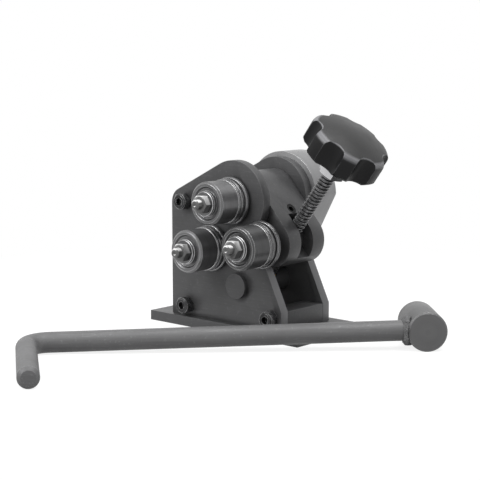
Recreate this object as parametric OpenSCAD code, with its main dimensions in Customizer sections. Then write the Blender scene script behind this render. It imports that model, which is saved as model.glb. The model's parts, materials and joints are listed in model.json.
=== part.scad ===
// Edge rolling machine: a bench tool that rolls strip between one driven roller and two idlers.
// Frame: X along the cheeks, Y to the rear, Z up; origin at the middle of the base's underside.

/* [Base and cheeks] */
// Length of the base plate
base_l = 158; // [150:1:190]
// Depth of the base plate
base_d = 75; // [70:1:100]
// Thickness of the base plate
base_t = 8; // [6:0.5:12]
// Ledge of the base in front of the front cheek
front_ledge = 5.5; // [3:0.5:8]
// Length of the cheeks at the foot
cheek_l = 117; // [112:1:124]
// Thickness of each cheek
cheek_t = 8; // [6:0.5:10]
// Depth over both cheeks
body_d = 60; // [56:1:64]
// Height of the upright right end of the cheeks
end_h = 15; // [12:0.5:18]
// Lean of the slanted right edge from upright, in degrees
slant_angle = 25.7; // [24:0.1:27]
// Height of the rounded upper left corner's centre above the base
shoulder_h = 92.5; // [88:0.5:98]
// Radius of the upper left corner
shoulder_r = 12; // [8:0.5:13]
// Radius of the lobe round the drive shaft
lobe_r = 31.5; // [30:0.5:33]
// Radius of the bench bolt holes
bench_hole_r = 4.5; // [3.5:0.1:5.5]
// Distance of a bench hole from the end of the base
bench_hole_edge = 10; // [8:0.5:11]

/* [Spacers and frame screws] */
// Width of the lower spacer bars
bar_w = 20; // [18:0.5:24]
// Height of the lower spacer bars
bar_h = 15; // [15:0.5:18]
// Distance of the lower left bar from the left end of the cheeks
left_bar_inset = 7.5; // [4:0.5:12]
// Height of the lower frame screws above the base
low_screw_h = 9; // [8:0.5:10]
// Radius of the upper left spacer
spacer_r = 9; // [7:0.5:11]
// Distance of the upper left screw from the left end
top_screw_inset = 15.5; // [13:0.5:20]
// Height of the upper left screw above the base
top_screw_h = 94; // [88:0.5:96]
// Shank radius of the frame screws
frame_screw_r = 4; // [3:0.5:4]
// Head radius of the frame screws
frame_head_r = 6.5; // [5.5:0.5:7]
// Head height of the frame screws
frame_head_h = 8; // [5:0.5:9]
// Key size across the flats of the frame screws
frame_key_af = 6; // [4:0.5:7]
// Length of thread that holds in a spacer
thread_grip = 12; // [9:0.5:12]

/* [Roller axes] */
// Distance of the drive shaft from the left end of the cheeks
drive_x = 67.3; // [65:0.1:70]
// Height of the drive shaft above the base
drive_h = 98.3; // [96:0.1:101]
// Distance of each idler axis from the drive shaft
arm_len = 45; // [44.5:0.1:47]
// Direction of the lower idler from the drive shaft, in degrees
lower_angle = 241; // [236:0.5:246]
// Direction of the side idler from the drive shaft, in degrees
side_angle = -45; // [-47:0.5:-43]
// Lowest swing of the arm, in degrees
swing_min = -3; // [-4:0.5:-1]
// Highest swing of the arm, in degrees
swing_max = 20; // [12:0.5:22]

/* [Rollers] */
// Length of a roller
roller_l = 29.5; // [26:0.5:34]
// Gap between a roller and the front cheek
roller_gap = 1.5; // [1.5:0.1:3]
// Radius of the working barrel
barrel_r = 16.8; // [15.5:0.1:17.3]
// Radius of the stepped collar
collar_r = 17.7; // [17.4:0.1:18.4]
// Distance of the collar's front edge from the rear face
collar_end = 10.5; // [9.5:0.1:12]
// Radius of the rear flange
flange_r = 18.8; // [18.5:0.1:19.4]
// Width of the rear flange
flange_w = 3.5; // [3:0.1:4.4]
// Radius of the roots of the turned grooves
groove_r = 16.1; // [14.5:0.1:16.6]
// Width of the groove beside the flange
groove_w = 1.2; // [0.8:0.1:1.6]
// Chamfer on the roller edges
roller_chamfer = 0.7; // [0.3:0.1:1]
// Radius of the dished front face
dish_r = 13.4; // [11:0.1:14]
// Depth of the dished front face
dish_d = 1.6; // [0.8:0.1:2.5]
// Radius of the hub or bush in the middle of a roller
hub_r = 10; // [9.2:0.1:10.8]
// How far the hub stands proud of the front face
hub_proud = 0.9; // [0.4:0.1:2]

/* [Shafts and axles] */
// Radius of the drive shaft and of the idler axles
shaft_r = 10; // [9:0.1:10.5]
// Radius of the journals that carry the rollers
journal_r = 8; // [7:0.1:8.4]
// Length of the drive shaft's free rear end
tail_l = 31; // [26:0.5:40]
// Chamfer at the free rear end
tail_chamfer = 1; // [0.5:0.1:2]
// Radius of the drive shaft's thrust collar
thrust_collar_r = 13; // [11.5:0.5:14]
// Width of the drive key
key_w = 5; // [4:0.5:6]
// Length of the drive key
key_l = 18; // [12:0.5:20]
// Radius of the end washers
washer_r = 9.6; // [8.6:0.1:9.8]
// Thickness of the end washers
washer_t = 1.6; // [1:0.1:2.5]
// Shank radius of the end bolts
end_bolt_r = 4; // [3:0.1:4.5]
// Thread length of the end bolts
end_bolt_l = 16; // [12:0.5:20]
// Size across the flats of the end bolts
end_bolt_af = 13; // [11:0.5:14]
// Height of the hexagon on the end bolts
end_bolt_h = 5.3; // [4:0.1:7]
// Length of the stub in front of that hexagon
stub_l = 5; // [3:0.5:7]
// Clearance of the lower axle's nut from the bearing housing
nut_clearance = 2; // [1:0.1:3]
// Height of the lower axle's nut
axle_nut_h = 8; // [5:0.5:10]

/* [Bearing housing] */
// Radius of the housing
housing_r = 35.5; // [34:0.5:38]
// Length of the housing
housing_l = 27.5; // [26:0.5:34]
// Direction of the flat on the housing, in degrees
housing_flat_angle = -28.3; // [-60:0.1:0]
// Distance of the flat from the drive shaft
housing_flat = 30.3; // [29.5:0.1:34]
// Outer radius of the ball bearing
bearing_r = 23.5; // [22.5:0.1:23.8]
// Width of the ball bearing
bearing_w = 14; // [12:0.5:15]
// Wall of the housing in front of the bearing
housing_wall = 8; // [5:0.5:8]
// Number of balls
ball_count = 8; // [6:1:8]
// Radius of a ball
ball_r = 3.9; // [3.4:0.1:4]
// Thickness of the circlips
clip_t = 1.6; // [1:0.1:1.8]
// Depth of the circlip grooves
clip_groove = 1; // [0.6:0.1:1.2]
// Number of housing screws
housing_screw_count = 4; // [3:1:5]
// Shank radius of the housing screws
housing_screw_r = 2; // [1.5:0.1:2.2]
// Head radius of the housing screws
housing_head_r = 3.5; // [3:0.1:3.7]
// Head height of the housing screws
housing_head_h = 3.5; // [3:0.1:5]
// Thread length of the housing screws in the rear cheek
housing_grip = 6; // [4:0.5:6.5]

/* [Swinging arm] */
// Radius of the eye round the pivot sleeve
eye_r = 22; // [20.5:0.1:23]
// Radius of the boss round the side axle
boss_r = 19; // [17:0.1:20]
// Side gap between the arm and each cheek
arm_gap = 0.5; // [0.3:0.1:1]
// Width of the slot for the screw
slot_w = 15; // [14:0.5:17]
// Direction of the slot's lower end from the side axle, in degrees
slot_end_angle = -40; // [-50:1:-30]
// Outer radius of the pivot sleeve
sleeve_r = 15; // [14:0.1:15.5]
// Wall of the pivot sleeve
sleeve_wall = 3; // [2:0.1:3.4]
// Wall of the arm bushes
arm_bush_wall = 2; // [1.5:0.1:2.5]
// Length of each arm bush
arm_bush_l = 14; // [10:0.5:18]
// Radius of the socket plug in the arm
plug_r = 4.5; // [3:0.1:5]
// Depth of the socket plug
plug_d = 10; // [7:0.5:10]
// Distance of the plug from the side axle along the arm
plug_along = 17.3; // [17:0.1:19]

/* [Adjusting screw] */
// Radius of the adjusting screw
screw_r = 5.5; // [5:0.1:6]
// Radius of the screw's foot in the thrust bar
foot_r = 3.8; // [3.2:0.1:4]
// Distance of the thrust bar from the square of the drive shaft onto the screw
thrust_drop = 50.7; // [48:0.1:53]
// Radius of the thrust bar
thrust_bar_r = 10; // [9.5:0.1:11]
// How far the thrust bar stands out of each cheek
thrust_bar_proud = 4; // [1:0.5:5]
// Distance of the flats from the thrust bar's axis
thrust_flat = 8.5; // [7.5:0.1:9]
// Thickness of the thrust washer
thrust_washer_t = 1.5; // [1:0.1:2]
// Distance of the lock nut from the thrust bar's axis
nut_at = 112.7; // [100:0.1:118]
// Size across the flats of the lock nut
nut_af = 19; // [17:0.5:21]
// Height of the lock nut
nut_h = 8; // [6:0.5:12]
// Turn of the lock nut about the screw, in degrees
nut_turn = 12; // [-30:1:30]

/* [Star knob] */
// Radius of the knob
knob_r = 32.5; // [27:0.5:35]
// Thickness of the knob's star
knob_t = 21.5; // [16:0.5:24]
// Rise of the knob's crown
knob_crown = 4; // [2:0.5:5]
// Height of the knob's neck
neck_h = 6; // [4:0.5:10]
// Radius of the knob's neck
neck_r = 11; // [9.5:0.5:13]
// Turn of the lobes about the screw, in degrees
lobe_turn = 29; // [-36:1:36]
// Number of lobes
knob_lobes = 7; // [4:1:7]
// Radius of the hollows between the lobes
hollow_r = 11; // [9:0.5:18]
// Depth of the hollows between the lobes
hollow_d = 5.8; // [3:0.1:8]
// Rounding of the knob's rim
knob_round = 6; // [2:0.5:7]
// Chamfer at the foot of the knob's star
foot_chamfer = 2.5; // [1:0.5:4]

/* [Crank] */
// Radius of the crank's bar
bar_r = 7.8; // [6.5:0.1:9]
// Distance between the hub and the grip
throw = 296; // [240:1:330]
// Length of the grip from the bar's axis
grip_l = 105; // [80:1:120]
// Turn of the bend, in degrees
bend_turn = 98; // [88:1:100]
// Radius of the bend's centre line
bend_r = 15; // [14:0.5:22]
// Chamfer at the end of the grip
grip_chamfer = 2.4; // [0.5:0.1:3]
// Radius of the crank's hub
crank_hub_r = 15; // [14:0.1:17]
// Length of the crank's hub
crank_hub_l = 46; // [40:0.5:56]
// Distance of the bar from the hub's closed face
hub_face = 10; // [9:0.5:14]
// Depth of the hub's socket
socket_d = 30; // [22:0.5:32]
// Chamfer on the hub's rims
hub_chamfer = 1; // [0.5:0.1:1.5]
// Leg of the weld between the bar and the hub
weld_leg = 3; // [2:0.1:4]
// Radius of the hub's set screw
set_screw_r = 3; // [2:0.1:4]
// Place of the hub beside the machine, along the cheeks
crank_x = 153.7; // [150:0.1:180]
// Place of the hub beside the machine, to the rear
crank_y = 22.7; // [-10:0.1:23]
// Direction in which the bar lies, in degrees
crank_turn = 224.2; // [222:0.1:226]

/* [Fits] */
// Radial clearance of a pressed or screwed seat
seat_fit = 0.02; // [0.01:0.01:0.05]
// Radial clearance of a running fit
run_fit = 0.04; // [0.02:0.01:0.08]
// Gap beside a part that turns
side_gap = 0.3; // [0.2:0.05:0.5]
// Room round the side axle in the front cheek
notch_gap = 2; // [1:0.1:2]
// Room round the screw in the side axle
cross_gap = 0.7; // [0.6:0.05:1]

/* [Hidden] */
$fn = 64;
eps = 0.5;
// Run of a drilled hole past the end of its screw
drill_run = 1;
// How far a circlip stands out past the rim of its groove
clip_reach = 2.2;
// Small chamfer on turned edges
edge_chamfer = 1;
// Depth of a hexagon socket as a share of the head's height
key_share = 0.55;
// Thread radius as a share of a nut's corner radius
thread_share = 0.53;
// Radius past a hexagon's corners as a share of its size across the flats
past_corner = 0.6;
// Radius where a hexagon's chamfer starts, as the same share
chamfer_start = 0.47;

function polar(r, a) = [r * cos(a), r * sin(a)];

// Heights and depths of the frame
left_x = -cheek_l / 2;
right_x = cheek_l / 2;
front_y = -base_d / 2 + front_ledge;
inner_front_y = front_y + cheek_t;
rear_y = front_y + body_d;
inner_rear_y = rear_y - cheek_t;
mid_y = (inner_front_y + inner_rear_y) / 2;
bar_z = base_t + low_screw_h;

// Axes, as points in X and Z
drive = [left_x + drive_x, base_t + drive_h];
lower = drive + polar(arm_len, lower_angle);
side = drive + polar(arm_len, side_angle);
side_low = drive + polar(arm_len, side_angle + swing_min);
swing_mid = (swing_min + swing_max) / 2;
swing_half = (swing_max - swing_min) / 2;
screw_angle = side_angle + swing_mid + 90;
screw_offset = arm_len * (1 + cos(swing_half)) / 2;
thrust = drive + polar(screw_offset, screw_angle - 90) - polar(thrust_drop, screw_angle);

// Frame screw places: upper left, lower left and lower right
left_bar_x = left_x + left_bar_inset + bar_w / 2;
right_bar_x = right_x - bar_w / 2;
top_screw = [left_x + top_screw_inset, base_t + top_screw_h];
frame_screw_spots = [top_screw, [left_bar_x, bar_z], [right_bar_x, bar_z]];
frame_screw_l = cheek_t + thread_grip;

// Outline of the cheeks: tangent from the upper left corner to the lobe
shoulder = [left_x + shoulder_r, base_t + shoulder_h];
span = drive - shoulder;
tangent_angle = atan2(span.y, span.x) + acos((shoulder_r - lobe_r) / norm(span));
slant_foot = [right_x, base_t + end_h];
slant_normal = polar(1, slant_angle);
slant_reach = (slant_foot - drive) * slant_normal;
slant_top = drive + slant_reach * slant_normal;

// Rollers along Y
roller_rear_y = front_y - roller_gap;
roller_front_y = roller_rear_y - roller_l;
journal_end_y = roller_front_y - hub_proud;
shoulder_y = roller_rear_y + side_gap;

// Bearing along Y
housing_rear_y = rear_y + housing_l;
bearing_y = rear_y + housing_wall;
bearing_end_y = bearing_y + bearing_w;
pitch_r = (bearing_r + shaft_r) / 2;
// Half of the space between the bearing's rings
race_gap = ball_r * 0.62;
tail_y = housing_rear_y + tail_l;
housing_pcd_r = (bearing_r + lobe_r) / 2 + side_gap;
housing_head_y = housing_rear_y - housing_head_h - side_gap;

// Nut behind the lower axle: its corners clear the housing
axle_nut_r = arm_len - housing_r - nut_clearance;
axle_nut_af = 2 * axle_nut_r * cos(30);
tail_thread_r = axle_nut_r * thread_share;

// Arm
arm_front_y = inner_front_y + arm_gap;
arm_rear_y = inner_rear_y - arm_gap;
eye_bore_r = sleeve_r + arm_bush_wall;
flank_lean = acos((eye_r - boss_r) / arm_len);
flank_up = side_angle + flank_lean;
flank_down = side_angle - flank_lean;
plug_spot = side + polar(boss_r, flank_up) + polar(plug_along, flank_up + 90);
axle_rear_y = arm_rear_y;

// Screw, measured along its axis from the thrust bar
shoulder_at = thrust_flat + thrust_washer_t;
knob_at = nut_at + nut_h;
star_at = knob_at + neck_h;
knob_top = star_at + knob_t + knob_crown;
screw_top = star_at + knob_t / 2;
foot_end = -thrust_flat - clip_t - clip_reach;

// Crank
crank_tilt = asin((crank_hub_r - bar_r) / throw);
socket_r = shaft_r + run_fit;
hub_open_y = hub_face - crank_hub_l;
straight_l = grip_l - bend_r - grip_chamfer;

// Shared shapes

// Cylinder along Y through the point p of the X-Z plane
module rod_y(p, r, y0, y1) {
    translate([p.x, y0, p.y])
        rotate([-90, 0, 0])
            cylinder(r = r, h = y1 - y0);
}

// Tube along Y
module tube_y(p, r_out, r_in, y0, y1) {
    difference() {
        rod_y(p, r_out, y0, y1);
        rod_y(p, r_in, y0 - eps, y1 + eps);
    }
}

// X-Z outline pulled from y0 to y1
module slab(y0, y1) {
    translate([0, y1, 0])
        rotate([90, 0, 0])
            linear_extrude(y1 - y0)
                children();
}

// Turned shape about Y: the profile is radius against distance to the front from y
module turned(p, y) {
    translate([p.x, y, p.y])
        rotate([90, 0, 0])
            rotate_extrude()
                children();
}

module hexagon(af) {
    circle(r = af / 2 / cos(30), $fn = 6);
}

// Hexagon prism along Y
module hex_y(p, af, y0, y1) {
    slab(y0, y1)
        translate(p)
            hexagon(af);
}

// Socket head screw whose head sits on the plane y; turn is 90 with the head to the front, -90 to the rear
module socket_screw(p, y, turn, head_r, head_h, shank_r, shank_l, key_af) {
    key_d = head_h * key_share;
    translate([p.x, y, p.y])
        rotate([turn, 0, 0])
            difference() {
                union() {
                    cylinder(r = head_r, h = head_h);
                    translate([0, 0, -shank_l])
                        cylinder(r = shank_r, h = shank_l + eps);
                }
                translate([0, 0, head_h - key_d])
                    linear_extrude(key_d + eps)
                        hexagon(key_af);
            }
}

// Countersunk screw into +Z, its head sunk below the face at Z 0; with room it is the cut for its seat
module sunk_screw(room, length) {
    head_r = frame_screw_r * 2;
    face = room > 0 ? -eps : side_gap;
    difference() {
        rotate_extrude()
            polygon([
                [0, face],
                [head_r + room, face],
                [head_r + room, side_gap],
                [frame_screw_r + room, side_gap + head_r - frame_screw_r],
                [frame_screw_r + room, length],
                [0, length]
            ]);
        if (room == 0)
            translate([0, 0, -eps])
                linear_extrude(eps + side_gap + frame_screw_r * key_share)
                    hexagon(frame_screw_r);
    }
}

// Screws that hold the lower bars on the base
module base_screw_shapes(room) {
    for (x = [left_bar_x, right_bar_x])
        translate([x, mid_y, 0])
            sunk_screw(room, base_t + thread_grip / 2);
}

// Flush screws through the rear cheek
module rear_screw_shapes(room) {
    for (spot = frame_screw_spots)
        translate([spot.x, rear_y, spot.y])
            rotate([90, 0, 0])
                sunk_screw(room, frame_screw_l);
}

// Places the children on the adjusting screw's axis, with Z from the thrust bar to the knob
module on_screw() {
    translate([thrust.x, mid_y, thrust.y])
        rotate([0, 90 - screw_angle, 0])
            children();
}

// Places the children on the loose crank: X from hub to grip, Y out of the hub's closed face
module on_crank() {
    translate([crank_x, crank_y, crank_hub_r])
        rotate([0, 0, crank_turn])
            rotate([0, crank_tilt, 0])
                children();
}

module cheek_outline() {
    polygon([
        [left_x, base_t],
        [right_x, base_t],
        slant_foot,
        slant_top,
        drive,
        drive + polar(lobe_r, tangent_angle),
        shoulder + polar(shoulder_r, tangent_angle),
        [left_x, shoulder.y]
    ]);
    translate(drive)
        circle(r = lobe_r);
    translate(shoulder)
        circle(r = shoulder_r);
}

// Cheek between y0 and y1 with the holes that both cheeks share
module cheek(y0, y1, axle_r) {
    difference() {
        slab(y0, y1)
            cheek_outline();
        rod_y(drive, sleeve_r + seat_fit, y0 - eps, y1 + eps);
        rod_y(lower, axle_r + seat_fit, y0 - eps, y1 + eps);
        rod_y(thrust, thrust_bar_r + seat_fit, y0 - eps, y1 + eps);
        for (spot = frame_screw_spots)
            rod_y(spot, frame_screw_r + seat_fit, y0 - eps, y1 + eps);
    }
}

// Roller with its bore; Z of the profile runs from the rear face to the front
module roller(p, bore_r, front_hub_r) {
    c = roller_chamfer;
    thin_groove = flange_w + groove_w + (collar_end - flange_w - groove_w) / 2;
    profile = [
        [bore_r, 0],
        [flange_r - c, 0],
        [flange_r, c],
        [flange_r, flange_w - c],
        [flange_r - c, flange_w],
        [groove_r, flange_w],
        [groove_r, flange_w + groove_w],
        [collar_r - c, flange_w + groove_w],
        [collar_r, flange_w + groove_w + c],
        [collar_r, thin_groove - c],
        [collar_r - c, thin_groove],
        [collar_r, thin_groove + c],
        [collar_r, collar_end - c],
        [collar_r - c, collar_end],
        [barrel_r, collar_end],
        [barrel_r, roller_l - 2 * c],
        [barrel_r - 2 * c, roller_l],
        [dish_r, roller_l],
        [dish_r - dish_d, roller_l - dish_d]
    ];
    hub = [
        [front_hub_r, roller_l - dish_d],
        [front_hub_r, roller_l + hub_proud],
        [bore_r, roller_l + hub_proud]
    ];
    plain = [[bore_r, roller_l - dish_d]];
    turned(p, roller_rear_y)
        polygon(concat(profile, front_hub_r > bore_r ? hub : plain));
}

// Bush between a journal and an idler
module roller_bush(p) {
    tube_y(p, hub_r - seat_fit, journal_r + run_fit, roller_front_y - hub_proud + side_gap, roller_rear_y);
}

module end_washer(p) {
    tube_y(p, washer_r, end_bolt_r + seat_fit, journal_end_y - washer_t, journal_end_y);
}

// Bolt with a hexagon and a stub in front of it
module end_bolt(p) {
    head_y = journal_end_y - washer_t;
    intersection() {
        hex_y(p, end_bolt_af, head_y - end_bolt_h, head_y);
        turned(p, head_y)
            polygon([
                [0, 0],
                [end_bolt_af * past_corner, 0],
                [end_bolt_af * past_corner, end_bolt_h - edge_chamfer],
                [end_bolt_af * chamfer_start, end_bolt_h],
                [0, end_bolt_h]
            ]);
    }
    turned(p, head_y)
        polygon([
            [0, end_bolt_h - eps],
            [end_bolt_r, end_bolt_h - eps],
            [end_bolt_r, end_bolt_h + stub_l - edge_chamfer],
            [end_bolt_r - edge_chamfer, end_bolt_h + stub_l],
            [0, end_bolt_h + stub_l]
        ]);
    rod_y(p, end_bolt_r, head_y - eps, head_y + washer_t + end_bolt_l);
}

// Threaded hole for an end bolt
module end_hole(p) {
    rod_y(p, end_bolt_r + seat_fit, journal_end_y - eps, journal_end_y + end_bolt_l + 2 * drill_run);
}

// Circlip about Y that fills a groove of depth clip_groove
module outer_clip(p, r, y0) {
    tube_y(p, r + clip_reach, r - clip_groove + seat_fit, y0, y0 + clip_t);
}

// Frame

module base_plate() {
    color([0.29, 0.29, 0.30])
        difference() {
            translate([-base_l / 2, -base_d / 2, 0])
                cube([base_l, base_d, base_t]);
            for (s = [-1, 1])
                translate([s * (base_l / 2 - bench_hole_edge), 0, -eps])
                    cylinder(r = bench_hole_r, h = base_t + 2 * eps);
            base_screw_shapes(seat_fit);
        }
}

module front_plate() {
    color([0.31, 0.31, 0.32])
        difference() {
            cheek(front_y, inner_front_y, shaft_r);
            for (p = [side, side_low])
                rod_y(p, shaft_r + notch_gap, front_y - eps, inner_front_y + eps);
        }
}

module rear_plate() {
    color([0.31, 0.31, 0.32])
        difference() {
            cheek(inner_rear_y, rear_y, journal_r);
            rear_screw_shapes(seat_fit);
            housing_spots()
                rod_y([0, 0], housing_screw_r + seat_fit, rear_y - housing_grip - drill_run, rear_y + eps);
        }
}

// Threaded holes in both ends of a spacer
module spacer_holes(p) {
    depth = thread_grip + drill_run;
    rod_y(p, frame_screw_r + seat_fit, inner_front_y - eps, inner_front_y + depth);
    rod_y(p, frame_screw_r + seat_fit, inner_rear_y - depth, inner_rear_y + eps);
}

module spacer_bar(x) {
    color([0.27, 0.27, 0.28])
        difference() {
            translate([x - bar_w / 2, inner_front_y, base_t])
                cube([bar_w, inner_rear_y - inner_front_y, bar_h]);
            spacer_holes([x, bar_z]);
            base_screw_shapes(seat_fit);
        }
}

module lower_left_bar() {
    spacer_bar(left_bar_x);
}

module lower_right_bar() {
    spacer_bar(right_bar_x);
}

module upper_left_spacer() {
    color([0.4, 0.4, 0.41])
        difference() {
            rod_y(top_screw, spacer_r, inner_front_y, inner_rear_y);
            spacer_holes(top_screw);
        }
}

module thrust_bar() {
    color([0.33, 0.33, 0.34])
        difference() {
            rod_y(thrust, thrust_bar_r, front_y - thrust_bar_proud, rear_y + thrust_bar_proud);
            on_screw() {
                translate([0, 0, -2 * thrust_bar_r])
                    cylinder(r = foot_r + run_fit, h = 4 * thrust_bar_r);
                for (at = [thrust_flat, -thrust_flat - thrust_bar_r])
                    translate([0, 0, at])
                        cylinder(r = screw_r + clip_reach, h = thrust_bar_r);
            }
        }
}

module frame_screws_front() {
    color([0.12, 0.12, 0.12])
        for (spot = frame_screw_spots)
            socket_screw(spot, front_y, 90, frame_head_r, frame_head_h, frame_screw_r, frame_screw_l,
                frame_key_af);
}

module frame_screws_rear() {
    color([0.12, 0.12, 0.12])
        rear_screw_shapes(0);
}

module base_screws() {
    color([0.12, 0.12, 0.12])
        base_screw_shapes(0);
}

module pivot_sleeve() {
    color([0.55, 0.55, 0.56])
        tube_y(drive, sleeve_r, sleeve_r - sleeve_wall, front_y, rear_y);
}

module front_bush() {
    color([0.7, 0.52, 0.28])
        tube_y(drive, sleeve_r - sleeve_wall - seat_fit, shaft_r + run_fit, front_y, front_y + 2 * cheek_t);
}

module housing_spots() {
    for (i = [0 : housing_screw_count - 1]) {
        turn = housing_flat_angle + (i + 0.5) * 360 / housing_screw_count;
        spot = drive + polar(housing_pcd_r, turn);
        translate([spot.x, 0, spot.y])
            children();
    }
}

module bearing_housing() {
    color([0.8, 0.8, 0.81])
        difference() {
            turned(drive, housing_rear_y)
                polygon([
                    [0, 0],
                    [housing_r - edge_chamfer, 0],
                    [housing_r, edge_chamfer],
                    [housing_r, housing_l],
                    [0, housing_l]
                ]);
            rod_y(drive, sleeve_r, rear_y - eps, housing_rear_y + eps);
            rod_y(drive, bearing_r + seat_fit, bearing_y, housing_rear_y + eps);
            rod_y(drive, bearing_r + clip_groove, bearing_end_y, bearing_end_y + clip_t + seat_fit);
            housing_spots() {
                rod_y([0, 0], housing_screw_r + seat_fit, rear_y - eps, housing_rear_y + eps);
                rod_y([0, 0], housing_head_r + side_gap, housing_head_y, housing_rear_y + eps);
            }
            translate([drive.x, rear_y - eps, drive.y])
                rotate([0, -housing_flat_angle, 0])
                    translate([housing_flat, 0, -housing_r])
                        cube([housing_r, housing_l + 2 * eps, 2 * housing_r]);
        }
}

module housing_screws() {
    color([0.12, 0.12, 0.12])
        housing_spots()
            socket_screw([0, 0], housing_head_y, -90, housing_head_r, housing_head_h, housing_screw_r,
                housing_head_y - rear_y + housing_grip, housing_head_r);
}

// Groove of the ball track
module ball_track() {
    translate([drive.x, bearing_y + bearing_w / 2, drive.y])
        rotate([90, 0, 0])
            rotate_extrude()
                translate([pitch_r, 0])
                    circle(r = ball_r + run_fit);
}

module bearing_outer_ring() {
    color([0.62, 0.62, 0.64])
        difference() {
            tube_y(drive, bearing_r, pitch_r + race_gap, bearing_y, bearing_end_y);
            ball_track();
        }
}

module bearing_inner_ring() {
    color([0.62, 0.62, 0.64])
        difference() {
            tube_y(drive, pitch_r - race_gap, shaft_r + seat_fit, bearing_y, bearing_end_y);
            ball_track();
        }
}

module ball_spots() {
    for (i = [0 : ball_count - 1]) {
        spot = drive + polar(pitch_r, i * 360 / ball_count);
        translate([spot.x, bearing_y + bearing_w / 2, spot.y])
            children();
    }
}

module bearing_balls() {
    color([0.75, 0.75, 0.77])
        ball_spots()
            sphere(r = ball_r);
}

module bearing_cage() {
    half = race_gap - 3 * side_gap;
    reach = ball_r + edge_chamfer;
    middle = bearing_y + bearing_w / 2;
    color([0.66, 0.5, 0.28])
        difference() {
            tube_y(drive, pitch_r + half, pitch_r - half, middle - reach, middle + reach);
            translate([drive.x, middle, drive.y])
                for (i = [0 : ball_count - 1])
                    rotate([0, 90 - i * 360 / ball_count, 0])
                        cylinder(r = ball_r + run_fit, h = bearing_r);
        }
}

module bearing_clip() {
    color([0.2, 0.2, 0.2])
        tube_y(drive, bearing_r + clip_groove - seat_fit, bearing_r - clip_reach, bearing_end_y,
            bearing_end_y + clip_t);
}

module lower_axle() {
    color([0.5, 0.5, 0.51])
        difference() {
            union() {
                rod_y(lower, journal_r, journal_end_y, shoulder_y + eps);
                rod_y(lower, shaft_r, shoulder_y, inner_rear_y);
                rod_y(lower, journal_r, inner_rear_y - eps, rear_y);
                rod_y(lower, tail_thread_r, rear_y - eps, rear_y + axle_nut_h + edge_chamfer);
            }
            end_hole(lower);
        }
}

module lower_axle_nut() {
    color([0.7, 0.7, 0.71])
        difference() {
            hex_y(lower, axle_nut_af, rear_y, rear_y + axle_nut_h);
            rod_y(lower, tail_thread_r + seat_fit, rear_y - eps, rear_y + axle_nut_h + eps);
        }
}

module lower_washer() {
    color([0.7, 0.7, 0.71])
        end_washer(lower);
}

module lower_bolt() {
    color([0.85, 0.85, 0.86])
        end_bolt(lower);
}

// Drive

module key_shape(room) {
    key_h = key_w;
    start = roller_rear_y - (roller_l - key_l) / 2;
    translate([drive.x - key_w / 2 - room, start - key_l - room, drive.y + journal_r - key_h / 2])
        cube([key_w + 2 * room, key_l + 2 * room, key_h + room]);
}

module drive_shaft() {
    color([0.5, 0.5, 0.51])
        difference() {
            union() {
                rod_y(drive, journal_r, journal_end_y + side_gap, roller_rear_y + eps);
                rod_y(drive, thrust_collar_r, roller_rear_y, front_y - side_gap);
                turned(drive, tail_y)
                    polygon([
                        [0, 0],
                        [shaft_r - tail_chamfer, 0],
                        [shaft_r, tail_chamfer],
                        [shaft_r, tail_y - front_y + side_gap + eps],
                        [0, tail_y - front_y + side_gap + eps]
                    ]);
            }
            end_hole(drive);
            key_shape(0);
            tube_y(drive, 2 * shaft_r, shaft_r - clip_groove, bearing_end_y,
                bearing_end_y + clip_t + seat_fit);
        }
}

module drive_roller() {
    color([0.36, 0.36, 0.37])
        difference() {
            roller(drive, journal_r + seat_fit, hub_r);
            key_shape(seat_fit);
        }
}

module drive_key() {
    color([0.6, 0.6, 0.61])
        key_shape(0);
}

module drive_washer() {
    color([0.7, 0.7, 0.71])
        end_washer(drive);
}

module drive_bolt() {
    color([0.85, 0.85, 0.86])
        end_bolt(drive);
}

module shaft_clip() {
    color([0.2, 0.2, 0.2])
        outer_clip(drive, shaft_r, bearing_end_y);
}

// Idlers

module lower_roller() {
    color([0.36, 0.36, 0.37])
        roller(lower, hub_r, hub_r);
}

module lower_bush() {
    color([0.7, 0.52, 0.28])
        roller_bush(lower);
}

module side_roller() {
    color([0.36, 0.36, 0.37])
        roller(side, hub_r, hub_r);
}

module side_bush() {
    color([0.7, 0.52, 0.28])
        roller_bush(side);
}

// Swinging arm

module arm_outline() {
    polygon([
        drive + polar(eye_r, flank_up),
        drive + polar(eye_r, flank_down),
        side + polar(boss_r, flank_down),
        side + polar(boss_r, flank_up)
    ]);
    translate(drive)
        circle(r = eye_r);
    translate(side)
        circle(r = boss_r);
}

// Slot for the screw: open over the boss, and below it as wide as the screw sweeps
module slot_outline() {
    half = slot_w / 2;
    reach = 3 * boss_r;
    first = screw_angle - swing_min;
    last = screw_angle - swing_max;
    upper_edge = side + polar(half, first + 90);
    polygon([
        side,
        upper_edge,
        upper_edge + polar(reach, first),
        side + polar(1.4 * reach, (first + slot_end_angle) / 2),
        side + polar(reach, slot_end_angle)
    ]);
    near_drive = side + polar(half, last + 90);
    near_foot = side + polar(half, first - 90);
    polygon([
        near_drive,
        near_drive - polar(reach, last),
        near_foot - polar(reach, first),
        near_foot
    ]);
}

module swing_arm() {
    color([0.42, 0.42, 0.43])
        difference() {
            slab(arm_front_y, arm_rear_y)
                arm_outline();
            rod_y(drive, eye_bore_r, arm_front_y - eps, arm_rear_y + eps);
            rod_y(side, shaft_r + run_fit, arm_front_y - eps, arm_rear_y + eps);
            slab(mid_y - slot_w / 2, mid_y + slot_w / 2)
                slot_outline();
            plug_place()
                translate([0, 0, -plug_d])
                    cylinder(r = plug_r + seat_fit, h = 2 * plug_d);
        }
}

module plug_place() {
    translate([plug_spot.x, mid_y, plug_spot.y])
        rotate([0, 90 - flank_up, 0])
            children();
}

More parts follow.
